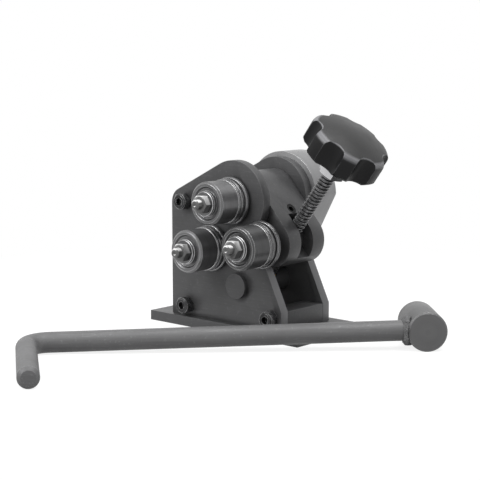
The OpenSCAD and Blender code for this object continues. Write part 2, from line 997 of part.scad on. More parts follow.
module arm_bushes() {
    color([0.7, 0.52, 0.28]) {
        tube_y(drive, eye_bore_r - seat_fit, sleeve_r + run_fit, arm_front_y, arm_front_y + arm_bush_l);
        tube_y(drive, eye_bore_r - seat_fit, sleeve_r + run_fit, arm_rear_y - arm_bush_l, arm_rear_y);
    }
}

module arm_plug() {
    color([0.1, 0.1, 0.1])
        plug_place()
            difference() {
                translate([0, 0, -plug_d])
                    cylinder(r = plug_r, h = plug_d - side_gap);
                translate([0, 0, -plug_d / 2])
                    linear_extrude(plug_d)
                        hexagon(plug_r);
            }
}

module side_axle() {
    color([0.5, 0.5, 0.51])
        difference() {
            union() {
                rod_y(side, journal_r, journal_end_y, shoulder_y + eps);
                rod_y(side, shaft_r, shoulder_y, axle_rear_y);
            }
            end_hole(side);
            on_screw()
                cylinder(r = screw_r + cross_gap, h = 4 * thrust_drop);
        }
}

module side_washer() {
    color([0.7, 0.7, 0.71])
        end_washer(side);
}

module side_bolt() {
    color([0.85, 0.85, 0.86])
        end_bolt(side);
}

// Adjusting screw

module adjusting_screw() {
    c = edge_chamfer;
    groove_at = -thrust_flat;
    color([0.45, 0.45, 0.46])
        on_screw()
            rotate_extrude()
                polygon([
                    [0, foot_end],
                    [foot_r - c, foot_end],
                    [foot_r, foot_end + c],
                    [foot_r, groove_at - clip_t - seat_fit],
                    [foot_r - clip_groove, groove_at - clip_t - seat_fit],
                    [foot_r - clip_groove, groove_at],
                    [foot_r, groove_at],
                    [foot_r, shoulder_at],
                    [screw_r - c, shoulder_at],
                    [screw_r, shoulder_at + c],
                    [screw_r, screw_top],
                    [0, screw_top]
                ]);
}

// Ring on the screw's axis
module screw_ring(r_out, r_in, z0, z1) {
    on_screw()
        translate([0, 0, z0])
            difference() {
                cylinder(r = r_out, h = z1 - z0);
                translate([0, 0, -eps])
                    cylinder(r = r_in, h = z1 - z0 + 2 * eps);
            }
}

module screw_clip() {
    color([0.2, 0.2, 0.2])
        screw_ring(foot_r + clip_reach, foot_r - clip_groove + seat_fit, -thrust_flat - clip_t,
            -thrust_flat - seat_fit);
}

module thrust_washer() {
    color([0.7, 0.52, 0.28])
        screw_ring(screw_r + edge_chamfer, foot_r + run_fit, thrust_flat + run_fit, shoulder_at - seat_fit);
}

module lock_nut() {
    color([0.75, 0.75, 0.76])
        on_screw()
            translate([0, 0, nut_at])
                difference() {
                    intersection() {
                        linear_extrude(nut_h)
                            rotate(nut_turn)
                                hexagon(nut_af);
                        rotate_extrude()
                            polygon([
                                [0, 0],
                                [nut_af * chamfer_start, 0],
                                [nut_af * past_corner, edge_chamfer],
                                [nut_af * past_corner, nut_h - edge_chamfer],
                                [nut_af * chamfer_start, nut_h],
                                [0, nut_h]
                            ]);
                    }
                    translate([0, 0, -eps])
                        cylinder(r = screw_r + seat_fit, h = nut_h + 2 * eps);
                }
}

// Star seen along the screw: a disc with a hollow between each two lobes
module star() {
    difference() {
        circle(r = knob_r);
        for (i = [0 : knob_lobes - 1])
            translate(polar(knob_r - hollow_d + hollow_r, lobe_turn + i * 360 / knob_lobes))
                circle(r = hollow_r);
    }
}

module screw_knob() {
    crown_base = star_at + knob_t;
    rim_r = knob_r - knob_round;
    color([0.06, 0.06, 0.06])
        on_screw()
            difference() {
                union() {
                    intersection() {
                        translate([0, 0, star_at])
                            linear_extrude(knob_t + knob_crown)
                                star();
                        rotate_extrude()
                            polygon(concat(
                                [[0, star_at], [knob_r - foot_chamfer, star_at]],
                                [[knob_r, star_at + foot_chamfer]],
                                [for (a = [0 : 15 : 90])
                                    [rim_r, crown_base - knob_round] + polar(knob_round, a)],
                                [[knob_r / 2, knob_top], [0, knob_top]]
                            ));
                    }
                    translate([0, 0, knob_at])
                        cylinder(r1 = neck_r, r2 = neck_r + 2 * edge_chamfer, h = neck_h + eps);
                }
                cylinder(r = screw_r + seat_fit, h = screw_top + side_gap);
            }
}

// Loose crank

// Cylinder along the hub's axis
module hub_rod(r, y0, y1) {
    translate([0, y0, 0])
        rotate([-90, 0, 0])
            cylinder(r = r, h = y1 - y0);
}

module crank_rod() {
    grip_r = bar_r - seat_fit;
    end_r = grip_r - grip_chamfer;
    color([0.47, 0.47, 0.48])
        on_crank()
            difference() {
                union() {
                    rotate([-90, 0, -90])
                        cylinder(r = bar_r, h = throw - bend_r);
                    translate([throw - bend_r, bend_r, 0])
                        rotate([0, 0, -90]) {
                            rotate_extrude(angle = bend_turn)
                                translate([bend_r, 0])
                                    circle(r = bar_r);
                            rotate([0, 0, bend_turn])
                                translate([bend_r, 0, 0])
                                    rotate([-90, 0, 0]) {
                                        cylinder(r = grip_r, h = straight_l);
                                        translate([0, 0, straight_l])
                                            cylinder(r1 = grip_r, r2 = end_r, h = grip_chamfer);
                                    }
                        }
                }
                hub_rod(crank_hub_r, -2 * bar_r, 2 * bar_r);
            }
}

module crank_hub() {
    color([0.45, 0.45, 0.46])
        on_crank()
            difference() {
                translate([0, hub_open_y, 0])
                    rotate([-90, 0, 0])
                        rotate_extrude()
                            polygon([
                                [0, 0],
                                [crank_hub_r - hub_chamfer, 0],
                                [crank_hub_r, hub_chamfer],
                                [crank_hub_r, crank_hub_l - hub_chamfer],
                                [crank_hub_r - hub_chamfer, crank_hub_l],
                                [0, crank_hub_l]
                            ]);
                hub_rod(socket_r, hub_open_y - eps, hub_open_y + socket_d);
                set_screw_place()
                    cylinder(r = set_screw_r + seat_fit, h = 2 * crank_hub_r);
            }
}

// Set screw across the socket, pointing away from the bar
module set_screw_place() {
    translate([0, hub_open_y + socket_d / 3, 0])
        rotate([0, -90, 0])
            children();
}

module crank_weld() {
    color([0.4, 0.4, 0.41])
        on_crank()
            difference() {
                rotate([0, 90, 0]) {
                    cylinder(r = bar_r + weld_leg, h = crank_hub_r);
                    translate([0, 0, crank_hub_r])
                        cylinder(r1 = bar_r + weld_leg, r2 = bar_r, h = weld_leg);
                }
                hub_rod(crank_hub_r, -2 * crank_hub_r, 2 * crank_hub_r);
                rotate([0, 90, 0])
                    cylinder(r = bar_r, h = 2 * crank_hub_r + weld_leg);
            }
}

module crank_set_screw() {
    screw_l = crank_hub_r - socket_r - side_gap;
    key_d = screw_l * key_share;
    color([0.1, 0.1, 0.1])
        on_crank()
            set_screw_place()
                translate([0, 0, socket_r])
                    difference() {
                        cylinder(r = set_screw_r, h = screw_l);
                        translate([0, 0, screw_l - key_d])
                            linear_extrude(key_d + eps)
                                hexagon(set_screw_r);
                    }
}

base_plate();
front_plate();
rear_plate();
lower_left_bar();
lower_right_bar();
upper_left_spacer();
thrust_bar();
frame_screws_front();
frame_screws_rear();
base_screws();
pivot_sleeve();
front_bush();
bearing_housing();
housing_screws();
bearing_outer_ring();
bearing_clip();
lower_axle();
lower_axle_nut();
lower_washer();
lower_bolt();
bearing_cage();
bearing_balls();
drive_shaft();
drive_roller();
drive_key();
drive_washer();
drive_bolt();
bearing_inner_ring();
shaft_clip();
lower_roller();
lower_bush();
swing_arm();
arm_bushes();
arm_plug();
side_axle();
side_washer();
side_bolt();
side_roller();
side_bush();
adjusting_screw();
screw_knob();
lock_nut();
screw_clip();
thrust_washer();
crank_rod();
crank_hub();
crank_weld();
crank_set_screw();
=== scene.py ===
import json
import math

import bpy
from mathutils import Matrix, Vector

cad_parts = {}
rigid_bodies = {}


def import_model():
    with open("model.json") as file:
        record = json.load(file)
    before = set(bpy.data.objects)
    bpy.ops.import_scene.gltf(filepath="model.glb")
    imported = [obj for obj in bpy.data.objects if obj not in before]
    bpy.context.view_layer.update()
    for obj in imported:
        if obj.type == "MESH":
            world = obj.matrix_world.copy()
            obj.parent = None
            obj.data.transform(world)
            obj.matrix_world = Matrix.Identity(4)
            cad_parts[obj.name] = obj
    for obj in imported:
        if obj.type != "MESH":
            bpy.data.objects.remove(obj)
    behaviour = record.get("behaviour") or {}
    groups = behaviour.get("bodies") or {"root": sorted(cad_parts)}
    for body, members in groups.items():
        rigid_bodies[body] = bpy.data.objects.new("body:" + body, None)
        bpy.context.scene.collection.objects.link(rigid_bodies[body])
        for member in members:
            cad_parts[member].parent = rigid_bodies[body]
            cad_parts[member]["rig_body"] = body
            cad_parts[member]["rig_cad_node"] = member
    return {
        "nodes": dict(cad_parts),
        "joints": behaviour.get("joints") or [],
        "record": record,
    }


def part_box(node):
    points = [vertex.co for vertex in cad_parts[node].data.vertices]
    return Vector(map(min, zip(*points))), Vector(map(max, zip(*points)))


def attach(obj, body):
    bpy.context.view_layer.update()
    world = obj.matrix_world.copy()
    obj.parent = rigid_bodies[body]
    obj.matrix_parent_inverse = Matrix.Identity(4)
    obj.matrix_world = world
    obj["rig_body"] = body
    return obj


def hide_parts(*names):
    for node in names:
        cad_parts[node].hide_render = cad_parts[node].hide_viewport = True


bl_info = {
    "name": "Edge rolling machine",
    "version": (1, 0, 0),
    "blender": (4, 5, 0),
    "location": "View3D > Sidebar > Roller",
    "description": "Dresses the solids of a hand-cranked edge rolling machine",
    "category": "Object",
}

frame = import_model()
NODES = frame["nodes"]
RECORD = frame["record"]
JOINTS = {joint["name"]: joint for joint in frame["joints"]}
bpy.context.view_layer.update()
SLOT_OF = {part["node"]: part["material_slot"] for part in RECORD["subparts"]}
BODY_OF = {
    node: body for body, members in RECORD["behaviour"]["bodies"].items() for node in members
}

MM = 0.001
MERGE_GAP = 0.002 * MM
FLAT_ANGLE = math.radians(0.6)
DRIVE = Vector(JOINTS["drive_spin"]["pos_m"])
LOWER = Vector(JOINTS["lower_spin"]["pos_m"])
SIDE = Vector(JOINTS["side_spin"]["pos_m"])
SCREW_FOOT = Vector(JOINTS["screw_turn"]["pos_m"])
SCREW_AXIS = -Vector(JOINTS["screw_turn"]["axis"])
CRANK_SOCKET = next(m for m in RECORD["mounts"] if m["name"] == "crank_socket")
CRANK_OUT = -Vector(CRANK_SOCKET["axis"])
HUB = Vector(CRANK_SOCKET["pos_m"])


def number(**limits):
    """A kind of number that shows in the sidebar."""
    def property_of(name, words, default):
        return bpy.props.FloatProperty(name=name, description=words, default=default, **limits)

    return property_of


metres = number(unit="LENGTH", precision=4)
share = number(min=0.0, max=1.0, subtype="FACTOR")
ratio = number(min=0.0)
radians = number(subtype="ANGLE")
power = number(min=0.0, subtype="POWER")
focal = number(subtype="DISTANCE_CAMERA")


def length(name, words, millimetres):
    """A length, given in millimetres."""
    return metres(name, words, millimetres * MM)


def angle(name, words, degrees):
    """An angle, given in degrees."""
    return radians(name, words, math.radians(degrees))


def count(name, words, default):
    """A number of like features."""
    return bpy.props.IntProperty(name=name, description=words, default=default, min=1)


def colour(name, words, default):
    """A linear colour."""
    return bpy.props.FloatVectorProperty(
        name=name, description=words, default=default, size=3, min=0.0, max=1.0, subtype="COLOR"
    )


class MachineSizes(bpy.types.PropertyGroup):
    """Sizes of what the scene models; heights on the screw count from the thrust bar's axis."""

    edge_round: length("Plate edge", "Rounding of the plates' edges", 0.45)
    arm_round: length("Arm edge", "Rounding of the arm's edges", 0.7)
    drum_round: length("Drum edge", "Rounding of the bearing housing", 0.5)
    thread_r: length("Thread crest", "Crest radius of the adjusting screw", 5.5)
    thread_lead: length("Thread lead", "Rise of the thread in one turn", 3.0)
    thread_depth: length("Thread depth", "Height of the thread above its root", 1.5)
    thread_from: length("Thread start", "Start of the thread", 11.0)
    thread_to: length("Thread end", "End of the thread inside the lock nut", 116.0)
    screw_foot_r: length("Screw foot", "Radius of the screw's plain foot", 3.8)
    screw_foot_from: length("Foot end", "Lower end of the foot", -12.3)
    screw_top: length("Screw top", "Upper end of the screw inside the knob", 137.4)
    knob_r: length("Knob", "Radius over the knob's lobes", 32.5)
    knob_from: length("Star start", "Underside of the star", 126.7)
    knob_t: length("Star height", "Height of the star at its rim", 21.5)
    knob_crown: length("Crown", "Rise of the crown over the rim", 4.0)
    knob_neck_r: length("Neck", "Radius of the neck under the star", 11.0)
    knob_neck_h: length("Neck height", "Height of the neck under the star", 6.0)
    knob_rim: length("Rim", "Rounding of the star's upper rim", 6.0)
    knob_edge: length("Lobe edge", "Rounding of the hollows' edges", 1.6)
    hollow_flare: length("Hollow flare", "Rounding of the hollows under the crown", 2.4)
    rim_round: length("Turned edge", "Rounding of rollers and washers", 0.45)
    cap_round: length("Cap edge", "Rounding of the cap heads", 0.8)
    hollow_r: length("Hollow", "Radius of the hollows between the lobes", 11.0)
    hollow_d: length("Hollow depth", "Depth of the hollows between the lobes", 5.8)
    lobe_turn: angle("Lobe turn", "Turn of the hollows about the screw", 29.0)
    lobe_count: count("Lobes", "Number of the knob's lobes", 7)
    cap_r: length("Cap head", "Head radius of the cheek screws", 6.5)
    cap_h: length("Cap height", "Head height of the cheek screws", 8.0)
    cap_key: length("Cap socket", "Size of the sockets across their flats", 6.0)
    cap_ribs: count("Cap ribs", "Number of ribs round a cap head", 36)
    rib_h: length("Rib height", "Height of a knurl rib", 0.22)
    bead_ripples: count("Weld ripples", "Number of ripples in the weld", 16)
    bead_h: length("Ripple height", "Height of a ripple in the weld", 0.5)
    bead_lumps: length("Weld lumps", "Unevenness of the weld bead", 0.9)
    bead_inner: length("Weld inside", "Radius about the bar outside which the bead is uneven", 8.6)
    bolt_round: length("Bolt edge", "Rounding of the end bolts' edges", 0.75)
    dimple_r: length("Dimple", "Radius of the end bolts' dimples", 1.5)
    grip_round: length("Grip edge", "Rounding of the grip's chamfer", 0.6)
    hub_round: length("Hub edge", "Rounding of the hub's edges", 0.5)


class MachineColours(bpy.types.PropertyGroup):
    """Base colours of the finishes."""

    cheek_steel: colour("Cheek steel", "Dark coat of the plates", (0.072, 0.072, 0.074))
    turned_steel: colour("Turned steel", "Ground tool steel of rollers and shafts", (0.105, 0.105, 0.107))
    arm_steel: colour("Arm steel", "Grey coat of the swinging arm", (0.076, 0.076, 0.078))
    bright_alloy: colour("Bright alloy", "Machined alloy of the bearing housing", (0.30, 0.30, 0.304))
    zinc: colour("Zinc", "Bright plate of nuts, bolts and washers", (0.20, 0.20, 0.204))
    black_oxide: colour("Black oxide", "Oiled black of screws and clips", (0.022, 0.022, 0.023))
    bronze: colour("Bronze", "Plain bearing bronze", (0.42, 0.24, 0.085))
    bearing_steel: colour("Bearing steel", "Polished rings and balls", (0.50, 0.50, 0.52))
    knob_plastic: colour("Knob plastic", "Black moulded plastic", (0.009, 0.009, 0.0094))
    crank_steel: colour("Crank steel", "Drawn bar of the crank", (0.155, 0.155, 0.157))
    # Rounded edges in a paler metal: partly rubbed metal, partly a painted highlight.
    rim_steel: colour("Rubbed rim", "Rubbed edges of rollers, washers and screw heads", (0.42, 0.42, 0.425))
    # Painted highlight: the end bolts' bright colour, kept on their upper sides.
    rim_bolt: colour("Rubbed bolt", "Bright upper sides of the end bolts", (0.95, 0.95, 0.95))
    # How much paler the knob's upper rim is painted, as a highlight.
    rim_plastic: ratio("Knob rim", "How much paler the knob's upper rim is", 24.0)
    # The crank's rounded edges are paler: partly rubbed bar, partly a painted highlight.
    rim_crank: ratio("Crank rim", "How much paler the crank's rounded edges are", 2.2)
    thread_steel: colour("Thread steel", "Oiled steel of the adjusting screw", (0.07, 0.07, 0.072))


class StageLook(bpy.types.PropertyGroup):
    """Floor, light and camera."""

    floor_colour: colour("Floor", "Colour of the pale floor", (0.26, 0.26, 0.26))
    floor_half: metres("Floor half", "Half of the floor's side", 6.0)
    floor_clear: metres("Clear floor", "Distance at which the floor has turned white", 0.45)
    floor_lift: share("Floor lift", "Light that the camera sees on the floor itself", 0.84)
    sky: share("Sky", "Strength of the even light from all sides", 0.32)
    key_power: power("Key", "Large soft lamp at the upper left", 12.0)
    fill_power: power("Fill", "Soft lamp at the right", 1.0)
    top_power: power("Top", "Soft lamp overhead", 13.0)
    camera_place: bpy.props.FloatVectorProperty(
        name="Camera", description="Place of the camera", size=3, subtype="TRANSLATION",
        unit="LENGTH", default=(0.65765, -0.75402, 0.21452),
    )
    camera_round: angle("Camera round", "Turn of the camera about the upright", 41.62)
    camera_down: angle("Camera down", "Tilt of the camera below the horizon", 8.18)
    camera_lens: focal("Lens", "Focal length for the sensor's width", 93.375)


# Modelling helpers


def settings():
    """The sizes that the operators read."""
    return bpy.context.scene.roller_sizes


def object_mode():
    """Leaves edit mode."""
    if bpy.context.mode != "OBJECT":
        bpy.ops.object.mode_set(mode="OBJECT")


def start_afresh():
    """Nothing selected, in object mode."""
    object_mode()
    bpy.ops.object.select_all(action="DESELECT")


def take(piece):
    """Only this piece is selected and active."""
    start_afresh()
    piece.select_set(True)
    bpy.context.view_layer.objects.active = piece


def edit(piece, kind="VERT"):
    """Edit mode on one piece, for vertices or faces."""
    take(piece)
    bpy.ops.object.mode_set(mode="EDIT")
    bpy.ops.mesh.select_mode(type=kind)


def edit_all(piece, kind="VERT"):
    """Edit mode with everything selected."""
    edit(piece, kind)
    bpy.ops.mesh.select_all(action="SELECT")


def set_down():
    """Puts the place of the active piece into its mesh."""
    bpy.ops.object.transform_apply(location=True, rotation=True, scale=True)


def made(name):
    """The primitive that was just added, under its own name."""
    piece = bpy.context.active_object
    piece.name = name
    piece.data.name = name
    return piece


def primitive(add, name, location=(0.0, 0.0, 0.0), **values):
    """A new primitive under its own name, with its place put into its mesh."""
    start_afresh()
    add(location=location, **values)
    piece = made(name)
    set_down()
    return piece


def apply_modifier(piece, kind, **values):
    """Adds a modifier with its values and applies it."""
    take(piece)
    modifier = piece.modifiers.new(kind.title(), kind)
    for key, value in values.items():
        setattr(modifier, key, value)
    bpy.ops.object.modifier_apply(modifier=modifier.name)


def select_where(piece, test, kind="VERT"):
    """Selects the vertices or faces that pass the test, and leaves the piece in edit mode."""
    edit(piece, kind)
    bpy.ops.mesh.select_all(action="DESELECT")
    object_mode()
    items = piece.data.polygons if kind == "FACE" else piece.data.vertices
    chosen = 0
    for item in items:
        item.select = bool(test(item))
        chosen += item.select
    if not chosen:
        raise RuntimeError(f"nothing to select on {piece.name}")
    bpy.ops.object.mode_set(mode="EDIT")


def close_up(piece):
    """Merges doubles and turns the faces outwards."""
    edit_all(piece)
    bpy.ops.mesh.remove_doubles(threshold=MERGE_GAP)
    bpy.ops.mesh.normals_make_consistent(inside=False)
    object_mode()


def smooth(piece, degrees=35.0):
    """Smooth shading, with edges over an angle kept sharp."""
    take(piece)
    bpy.ops.object.shade_smooth_by_angle(angle=math.radians(degrees))


def place(piece, spot, up):
    """Moves a piece made about Z so that Z points along up, and puts the place into its mesh."""
    z = Vector(up).normalized()
    x = Vector((0.0, 1.0, 0.0)).cross(z)
    if x.length < 0.01:
        x = Vector((1.0, 0.0, 0.0))
    x = (x - x.dot(z) * z).normalized()
    turn = Matrix((x, z.cross(x), z)).transposed().to_4x4()
    take(piece)
    piece.matrix_world = Matrix.Translation(Vector(spot)) @ turn
    set_down()


def join(name, pieces):
    """One piece out of several."""
    take(pieces[0])
    for piece in pieces[1:]:
        piece.select_set(True)
    bpy.ops.object.join()
    return made(name)


def lathe(name, profile, steps=96):
    """A turned shape about Z: a point is drawn along the profile and spun once round."""
    piece = primitive(bpy.ops.mesh.primitive_plane_add, name, size=MM)
    edit_all(piece)
    bpy.ops.mesh.merge(type="CENTER")
    first = profile[0]
    bpy.ops.transform.translate(value=(first[0], 0.0, first[1]))
    for before, after in zip(profile, profile[1:]):
        step = (after[0] - before[0], 0.0, after[1] - before[1])
        bpy.ops.mesh.extrude_region_move(TRANSFORM_OT_translate={"value": step})
    bpy.ops.mesh.select_all(action="SELECT")
    bpy.ops.mesh.spin(
        steps=steps, angle=2.0 * math.pi, center=(0.0, 0.0, 0.0), axis=(0.0, 0.0, 1.0)
    )
    close_up(piece)
    return piece


def cut(piece, tool):
    """Takes the tool out of the piece."""
    apply_modifier(piece, "BOOLEAN", operation="DIFFERENCE", solver="EXACT", object=tool)
    mesh = tool.data
    bpy.data.objects.remove(tool)
    bpy.data.meshes.remove(mesh)


def copy_node(node, name):
    """A loose copy of a solid, merged so that it can be worked on."""
    take(NODES[node])
    bpy.ops.object.duplicate()
    piece = made(name)
    bpy.ops.object.parent_clear(type="CLEAR_KEEP_TRANSFORM")
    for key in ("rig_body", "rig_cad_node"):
        if key in piece:
            del piece[key]
    edit_all(piece)
    bpy.ops.mesh.remove_doubles(threshold=MERGE_GAP)
    bpy.ops.mesh.dissolve_limited(angle_limit=FLAT_ANGLE)
    object_mode()
    return piece


def soften(piece, width, segments=3, degrees=34.0):
    """Rounds the sharp edges of a piece; where it has two finishes, the rounded faces take the second."""
    apply_modifier(
        piece, "BEVEL", width=width, segments=segments, limit_method="ANGLE",
        angle_limit=math.radians(degrees), use_clamp_overlap=True, harden_normals=False,
        miter_outer="MITER_ARC", material=len(piece.data.materials) - 1,
    )
    smooth(piece, degrees)


def coat(piece, *materials):
    """Gives a piece its finishes, all faces in the first one."""
    piece.data.materials.clear()
    for material in materials:
        piece.data.materials.append(material)


def dress(piece, node):
    """Hides the solid that a piece stands for and puts the piece on that solid's body."""
    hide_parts(node)
    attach(piece, BODY_OF[node])


def soften_node(node, width, rim=False, **how):
    """A finished copy of a solid with rounded edges; with rim, these are made paler, partly as rubbed metal
    and partly as a painted highlight.
    """
    piece = copy_node(node, f"{node}_shape")
    coat(piece, finish_for(node), *([rim_for(node)] if rim else []))
    soften(piece, width, **how)
    dress(piece, node)


def arc(middle, radius, turn, steps, side=1.0):
    """Points of an arc that starts level with its middle, on one side of it, and rises."""
    turns = [turn * i / steps for i in range(steps + 1)]
    return [(middle[0] + side * radius * math.cos(a), middle[1] + radius * math.sin(a)) for a in turns]


# Material helpers


class Nodes:
    """A short way to add and link shader nodes."""

    def __init__(self, tree):
        self.tree = tree

    def add(self, kind, **values):
        node = self.tree.nodes.new(kind)
        for key, value in values.items():
            setattr(node, key, value)
        return node

    def put(self, node, name, value):
        """Links a socket or sets a number on a node's input."""
        socket = node.inputs[name]
        if isinstance(value, bpy.types.NodeSocket):
            self.tree.links.new(value, socket)
        else:
            socket.default_value = value

    def make(self, kind, inputs, output=0, **values):
        """Adds a node, fills its inputs and gives one of its outputs."""
        node = self.add(kind, **values)
        for name, value in inputs.items():
            self.put(node, name, value)
        return node.outputs[output]

    def math(self, operation, *values, clamp=False):
        return self.make("ShaderNodeMath", dict(enumerate(values)), operation=operation, use_clamp=clamp)

    def noise(self, vector, scale, detail=3.0, rough=0.55):
        values = {"Vector": vector, "Scale": scale, "Detail": detail, "Roughness": rough}
        return self.make("ShaderNodeTexNoise", values, "Fac")

    def spread(self, value, low, high, to_low=0.0, to_high=1.0):
        """Stretches a value from one range to another."""
        values = {"Value": value, "From Min": low, "From Max": high, "To Min": to_low, "To Max": to_high}
        return self.make("ShaderNodeMapRange", values, "Result", clamp=True)

    def blend(self, factor, first, second):
        """Goes from the first colour to the second."""
        # By their numbers: the node has sockets of the same names for other kinds of value.
        values = {"Factor": factor, 6: first, 7: second}
        return self.make("ShaderNodeMix", values, output=2, data_type="RGBA")

    def bump(self, height, strength, distance):
        values = {"Height": height, "Strength": strength, "Distance": distance}
        return self.make("ShaderNodeBump", values, "Normal")

    def seen(self):
        """1 for what the camera sees straight, in a reflection or through something clear."""
        path = self.add("ShaderNodeLightPath").outputs
        direct = self.math("ADD", path["Is Camera Ray"], path["Is Glossy Ray"], clamp=True)
        return self.math("ADD", direct, path["Is Transmission Ray"], clamp=True)


def turned_rings(n, source):
    """Fine rings of turning about Y, from a vector that is centred on the axis."""
    parts = n.add("ShaderNodeSeparateXYZ")
    n.put(parts, "Vector", source["Vector"])
    flat = n.make("ShaderNodeCombineXYZ", {"X": parts.outputs["X"], "Y": parts.outputs["Z"]})
    radius = n.make("ShaderNodeVectorMath", {0: flat}, "Value", operation="LENGTH")
    across = n.math("MULTIPLY", radius, source["Rings"])
    along = n.math("MULTIPLY", parts.outputs["Y"], source["Rings"])
    path = n.make("ShaderNodeCombineXYZ", {"X": across, "Y": along})
    fine = n.noise(path, 1.0, detail=4.0, rough=0.7)
    broad = n.noise(path, 0.13, detail=2.0)
    tint = n.math("ADD", n.math("MULTIPLY", fine, 0.4), n.math("MULTIPLY", broad, 0.6))
    return {"Height": fine, "Tint": tint}


def handled_metal(n, source):
    """Blotches and small specks, as on steel that has been handled and oiled."""
    vector = {0: source["Vector"], "Scale": source["Size"]}
    scaled = n.make("ShaderNodeVectorMath", vector, operation="SCALE")
    blotch = n.noise(scaled, 38.0, detail=4.0, rough=0.6)
    speck = n.noise(scaled, 420.0, detail=2.0, rough=0.5)
    grain = n.noise(scaled, 1500.0, detail=2.0, rough=0.6)
    return {"Blotch": n.spread(blotch, 0.32, 0.68), "Speck": n.spread(speck, 0.62, 0.74), "Grain": grain}


def edge_wear_and_sheen(n, source):
    """A mask that is 1 along sharp edges and 0 on open faces, broken up by noise; it paints both wear and
    highlights along edges.
    """
    rounded = n.make("ShaderNodeBevel", {"Radius": source["Reach"]}, samples=6)
    flat = n.add("ShaderNodeNewGeometry").outputs["Normal"]
    same = n.make("ShaderNodeVectorMath", {0: rounded, 1: flat}, "Value", operation="DOT_PRODUCT")
    edge = n.spread(same, 0.985, 0.86)
    broken = n.spread(n.noise(source["Vector"], source["Break"], detail=3.0), 0.36, 0.6)
    return {"Edge": n.math("MULTIPLY", edge, broken)}


def drawn_lines(n, source):
    """Long fine lines along X, as on drawn or brushed bar."""
    long = {"Vector": source["Vector"], "Scale": (26.0, 900.0, 900.0)}
    lines = n.noise(n.make("ShaderNodeMapping", long), 1.0, detail=3.0)
    short = {"Vector": source["Vector"], "Rotation": (0.3, 0.2, 0.25), "Scale": (70.0, 620.0, 620.0)}
    scratches = n.noise(n.make("ShaderNodeMapping", short), 1.0, detail=1.0)
    return {"Height": lines, "Scratch": n.spread(scratches, 0.64, 0.72)}


# What fills each node group, and its inputs beside the vector
NODE_GROUPS = {
    "Turned rings": (turned_rings, {"Rings": 1.0}),
    "Handled metal": (handled_metal, {"Size": 1.0}),
    "Worn edges": (edge_wear_and_sheen, {"Reach": MM, "Break": 160.0}),
    "Drawn lines": (drawn_lines, {}),
}


def new_group(name):
    """Makes one of the node groups."""
    fill, inputs = NODE_GROUPS[name]
    tree = bpy.data.node_groups.new(name, "ShaderNodeTree")
    tree.interface.new_socket("Vector", in_out="INPUT", socket_type="NodeSocketVector")
    for label, value in inputs.items():
        socket = tree.interface.new_socket(label, in_out="INPUT", socket_type="NodeSocketFloat")
        socket.default_value = value
    n = Nodes(tree)
    results = fill(n, n.add("NodeGroupInput").outputs)
    for label in results:
        tree.interface.new_socket(label, in_out="OUTPUT", socket_type="NodeSocketFloat")
    target = n.add("NodeGroupOutput")
    for label, result in results.items():
        n.put(target, label, result)
    return tree


class Finish(Nodes):
    """A material under way: object coordinates, the shared groups and the shader."""

    def __init__(self, name, base, metallic, roughness, centre=(0.0, 0.0, 0.0), turn=0.0):
        self.material = bpy.data.materials.new(name)
        self.material.use_nodes = True
        super().__init__(self.material.node_tree)
        self.base = base
        self.roughness = roughness
        self.shader = next(n for n in self.tree.nodes if n.type == "BSDF_PRINCIPLED")
        self.shader.inputs["Metallic"].default_value = metallic
        self.shader.inputs["Roughness"].default_value = roughness
        coordinates = self.add("ShaderNodeTexCoord").outputs
        self.normal = coordinates["Normal"]
        shift = {
            "Vector": coordinates["Object"], "Location": tuple(centre), "Rotation": (0.0, 0.0, turn),
        }
        self.where = self.make("ShaderNodeMapping", shift, vector_type="TEXTURE")

    def group(self, name, **values):
        tree = bpy.data.node_groups.get(name) or new_group(name)
        node = self.add("ShaderNodeGroup", node_tree=tree)
        self.put(node, "Vector", self.where)
        for key, value in values.items():
            self.put(node, key, value)
        return node.outputs

    def facing(self, direction):
        """1 where the surface faces along a direction of the object, 0 square to it."""
        pair = {0: self.normal, 1: tuple(direction)}
        return self.make("ShaderNodeVectorMath", pair, "Value", operation="DOT_PRODUCT")

    def below(self, top, fade):
        """1 well below a height, 0 above it."""
        height = self.make("ShaderNodeSeparateXYZ", {"Vector": self.where}, "Z")
        return self.spread(height, top, top - fade)

    def cloud(self, mask, dark, light):
        """The base colour, from a darker to a lighter shade of it."""
        return self.blend(mask, shade(self.base, dark), shade(self.base, light))

    def tint(self, tone, mask, strength, factor):
        """A tone with another shade of the base laid over it where the mask is 1."""
        return self.blend(self.math("MULTIPLY", mask, strength), tone, shade(self.base, factor))

    def gloss(self, mask, smoother, rougher):
        """Roughness that wanders with a mask about the finish's own."""
        return self.spread(mask, 0.0, 1.0, self.roughness - smoother, self.roughness + rougher)

    def set(self, name, value):
        self.put(self.shader, name, value)

    def done(self, tone, rough, normal):
        """Sets the main inputs and gives the material."""
        self.set("Base Color", tone)
        self.set("Roughness", rough)
        self.set("Normal", normal)
        return self.material


def shade(colour_value, factor):
    """A colour made lighter or darker, with its alpha."""
    return (*(min(1.0, c * factor) for c in colour_value[:3]), 1.0)


